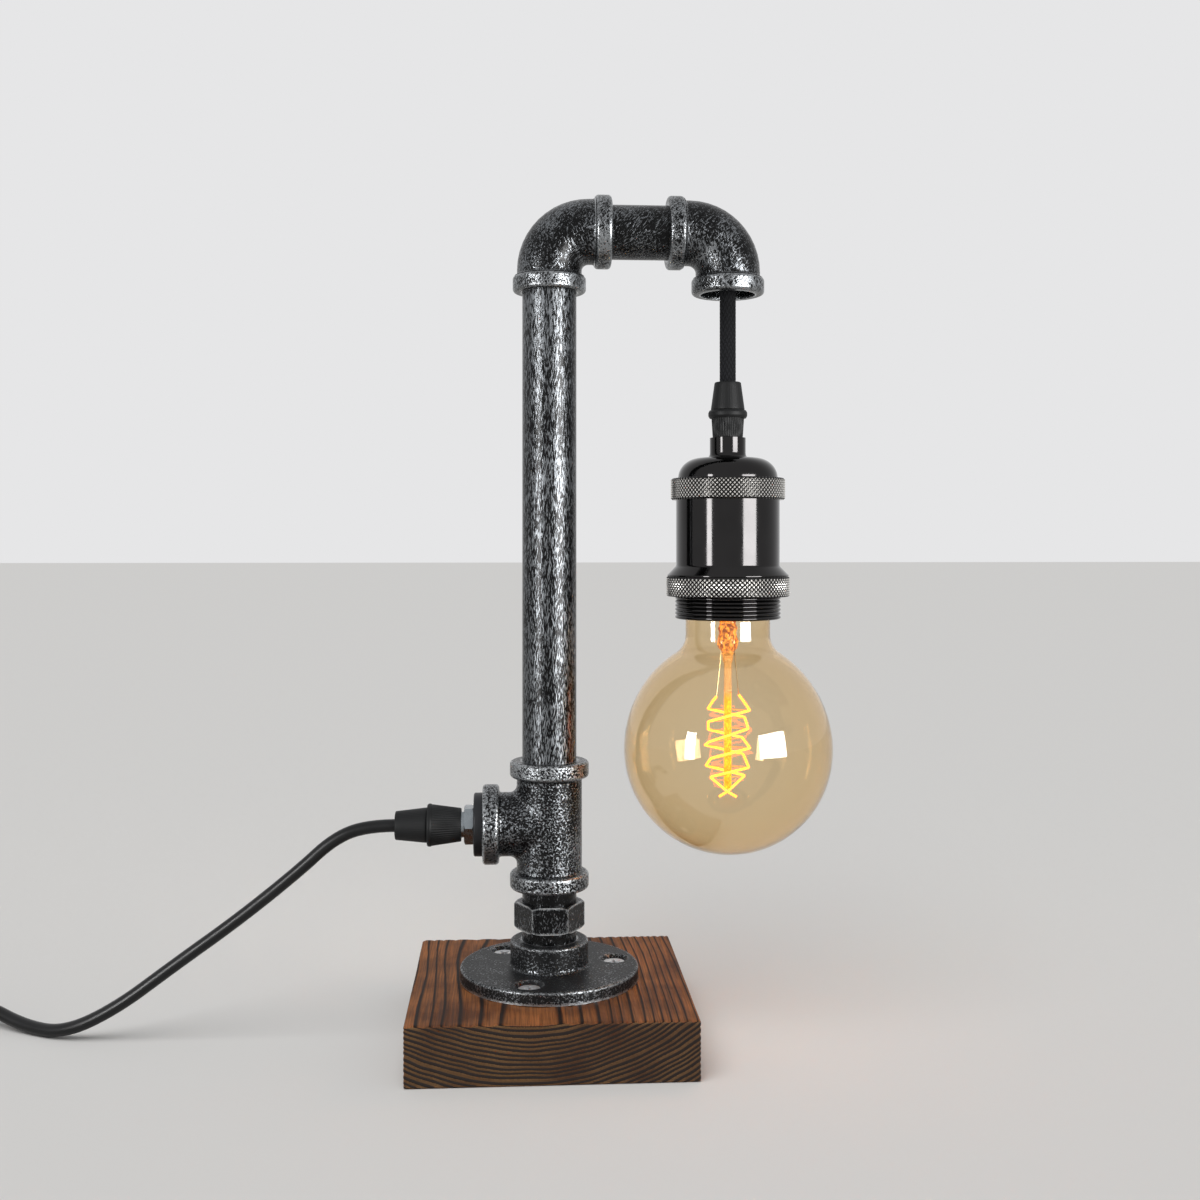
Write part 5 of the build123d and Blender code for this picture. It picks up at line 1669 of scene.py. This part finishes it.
@dataclass
class MainsLead:
    """Mains cord in two lengths with a rocker switch between, put away in a tied coil by its plug."""

    diameter: float = 5.0
    first_length: float = 0.2188
    coil_length: float = 1.4813
    exit: Point = (-60.2, 0.0, 82.2)
    route: tuple[Point, ...] = (
        (-72.0, 0.0, 82.2), (-84.5, 0.0, 77.0), (-97.0, 0.0, 65.4), (-120.0, 0.0, 47.0),
        (-146.0, 0.0, 28.6), (-167.0, 0.5, 13.0), (-188.0, 3.5, 2.6), (-207.0, 13.0, 2.6),
        (-227.0, 24.0, 8.5), (-249.0, 24.0, 8.5))
    leave_switch: tuple[Point, ...] = ((-293.0, 24.0, 8.5), (-307.0, 24.0, 8.5), (-320.0, 24.0, 5.6))
    coil_centre: Pair = (-339.0, -17.75)
    inner_radius: float = 19.0
    turn_pitch: float = 6.5
    half_turns: int = 7
    points_a_half_turn: int = 8
    low_layer: float = 3.6
    high_layer: float = 10.1
    into_plug: tuple[Point, ...] = ((-326.0, -59.5, 8.3), (-314.0, -59.5, 6.9), (-301.0, -59.5, 6.9))

    def coil_points(self) -> list[Point]:
        """Wind the coil: in along the lower layer, up, and out along the upper one.

        Returns:
            Control points, in millimetres.
        """
        total = 2 * self.half_turns + 1
        outer = self.inner_radius + self.half_turns * self.turn_pitch / 2
        bulge = 1 / math.cos(math.pi / (2 * self.points_a_half_turn))
        points = []
        for k in range(total * self.points_a_half_turn):
            turn = (k + 0.5) / self.points_a_half_turn
            inwards = min(turn, self.half_turns, total - turn)
            climb = min(max(turn - self.half_turns, 0.0), 1.0)
            radius = (outer - inwards * self.turn_pitch / 2) * bulge
            angle = math.pi / 2 + math.pi * turn
            points.append((self.coil_centre[0] + radius * math.cos(angle),
                           self.coil_centre[1] + radius * math.sin(angle),
                           self.low_layer + (self.high_layer - self.low_layer) * climb))
        return points

    def cord(self, name: str, points: Sequence[Point], node: str) -> bpy.types.Object:
        """Lay a round cord on one smooth spline.

        Args:
            name: Name of the piece.
            points: Control points, in millimetres.
            node: CAD node that it replaces.

        Returns:
            The curve object.
        """
        path = [Vector([value * MM for value in point]) for point in points]
        curve = wire_curve(name, [path], self.diameter, CORD_PVC, facets=5, steps=6)
        return stand_in(name, curve, node, Body.STAND)

    def build(self) -> None:
        """Lay both lengths of cord, and finish the switch, the tie and the plug."""
        first = self.cord("cord_to_switch", [self.exit, *self.route], "mains_cord")
        second = self.cord("cord_to_plug", [*self.leave_switch, *self.coil_points(), *self.into_plug],
                           "cord_coil")
        dress_nodes(CASE_PLASTIC, "switch_base", "switch_cover", "plug_body")
        dress_nodes(ROCKER_PLASTIC, "switch_rocker")
        dress_nodes(STRAP_PLASTIC, "cord_tie")
        dress_nodes(ZINC, "switch_screws")
        dress_nodes(NICKEL, "switch_terminals", "plug_pins")


@dataclass
class SoftBox:
    """Rectangular soft box that only gloss and glass mirror; place and size in metres, power in watts."""

    name: str
    place: Point
    size: Pair
    power: float

    def build(self, aim: Vector) -> None:
        """Hang the box so that it faces the lamp.

        Args:
            aim: Point that it faces, in metres.
        """
        light = bpy.data.lights.new(self.name, "AREA")
        light.shape = "RECTANGLE"
        light.size, light.size_y = self.size
        light.energy = self.power
        made = put(self.name, light)
        made.location = self.place
        made.rotation_euler = (aim - made.location).to_track_quat("-Z", "Y").to_euler()
        made.visible_diffuse = False


@dataclass
class Studio:
    """Pale floor, soft boxes, a pale surround, and the camera at the photograph's place."""

    boxes: tuple[SoftBox, ...] = (SoftBox("box_right", (0.80, -0.86, 0.26), (0.62, 0.44), 20.0),
                                  SoftBox("strip_left", (-0.80, -0.74, 0.26), (0.22, 0.5), 8.5))
    box_aim: Point = (0.02, 0.0, 0.17)
    surround_tone: str = "#e6e6e7"
    fill_strength: float = 0.45
    sky_strength: float = 1.9
    sky_spread: float = 50.0
    sky_fall: Point = (0.25, 0.5, -1.0)
    floor_size: float = 24.0
    camera_place: Point = (-13.97, -533.93, 193.19)
    camera_yaw: float = -0.0635
    camera_near: float = 0.01
    focal_px: float = 1355.45
    frame_px: float = 1200.0
    horizon_px: float = 541.6
    sensor: float = 36.0

    def floor(self) -> None:
        """Lay a plain floor under the lamp."""
        half = self.floor_size / 2
        mesh = bpy.data.meshes.new("floor")
        corners = [(x * half, y * half, 0) for x, y in ((-1, -1), (1, -1), (1, 1), (-1, 1))]
        mesh.from_pydata(corners, [], [(0, 1, 2, 3)])
        mesh.materials.append(FLOOR_PAINT.material())
        put("floor", mesh)

    def surround(self) -> None:
        """Pale surround for the camera, gloss and glass, and a weaker fill for everything else."""
        world = bpy.data.worlds.new("surround")
        world.use_nodes = True
        tree = world.node_tree
        tree.nodes.clear()
        seen = add_node(tree, "LightPath", out="Is Camera Ray")
        for ray in ("Is Glossy Ray", "Is Transmission Ray"):
            seen = add_node(tree, "Math", (seen, add_node(tree, "LightPath", out=ray)), operation="MAXIMUM")
        strength = add_node(tree, "MapRange", (seen, 0.0, 1.0, self.fill_strength, 1.0))
        light = add_node(tree, "Background", {"Color": linear(self.surround_tone), "Strength": strength})
        add_node(tree, "OutputWorld", {"Surface": light})
        bpy.context.scene.world = world

    def sky_panel(self) -> None:
        """Light everything evenly from above and a little in front, with soft shadows."""
        light = bpy.data.lights.new("sky_panel", "SUN")
        light.energy = self.sky_strength
        light.angle = math.radians(self.sky_spread)
        made = put("sky_panel", light)
        made.rotation_euler = Vector(self.sky_fall).to_track_quat("-Z", "Y").to_euler()
        made.visible_glossy = False
        made.visible_transmission = False

    def camera(self) -> None:
        """Set the camera where the photograph was taken from."""
        data = bpy.data.cameras.new("camera")
        data.sensor_width = self.sensor
        data.lens = self.focal_px / self.frame_px * self.sensor
        data.shift_y = (self.horizon_px - self.frame_px / 2) / self.frame_px
        data.clip_start = self.camera_near
        made = put("camera", data)
        made.location = [value * MM for value in self.camera_place]
        made.rotation_euler = (math.pi / 2, 0, self.camera_yaw)
        bpy.context.scene.camera = made

    def build(self) -> None:
        """Build the whole stage."""
        bpy.context.scene.view_settings.view_transform = "Standard"
        self.floor()
        self.surround()
        self.sky_panel()
        for box in self.boxes:
            box.build(Vector(self.box_aim))
        self.camera()
        LOG.info("built the studio")


def main() -> None:
    """Dress the lamp, one sub-assembly after another, and set the stage."""
    logging.basicConfig(level=logging.INFO)
    for assembly in (MainsLead(), Studio(), WoodBlock(), PipeStand(), MainsEntry(), PendantCable(),
                     Lampholder(), GlobeBulb()):
        assembly.build()


if __name__ == "__main__":
    main()
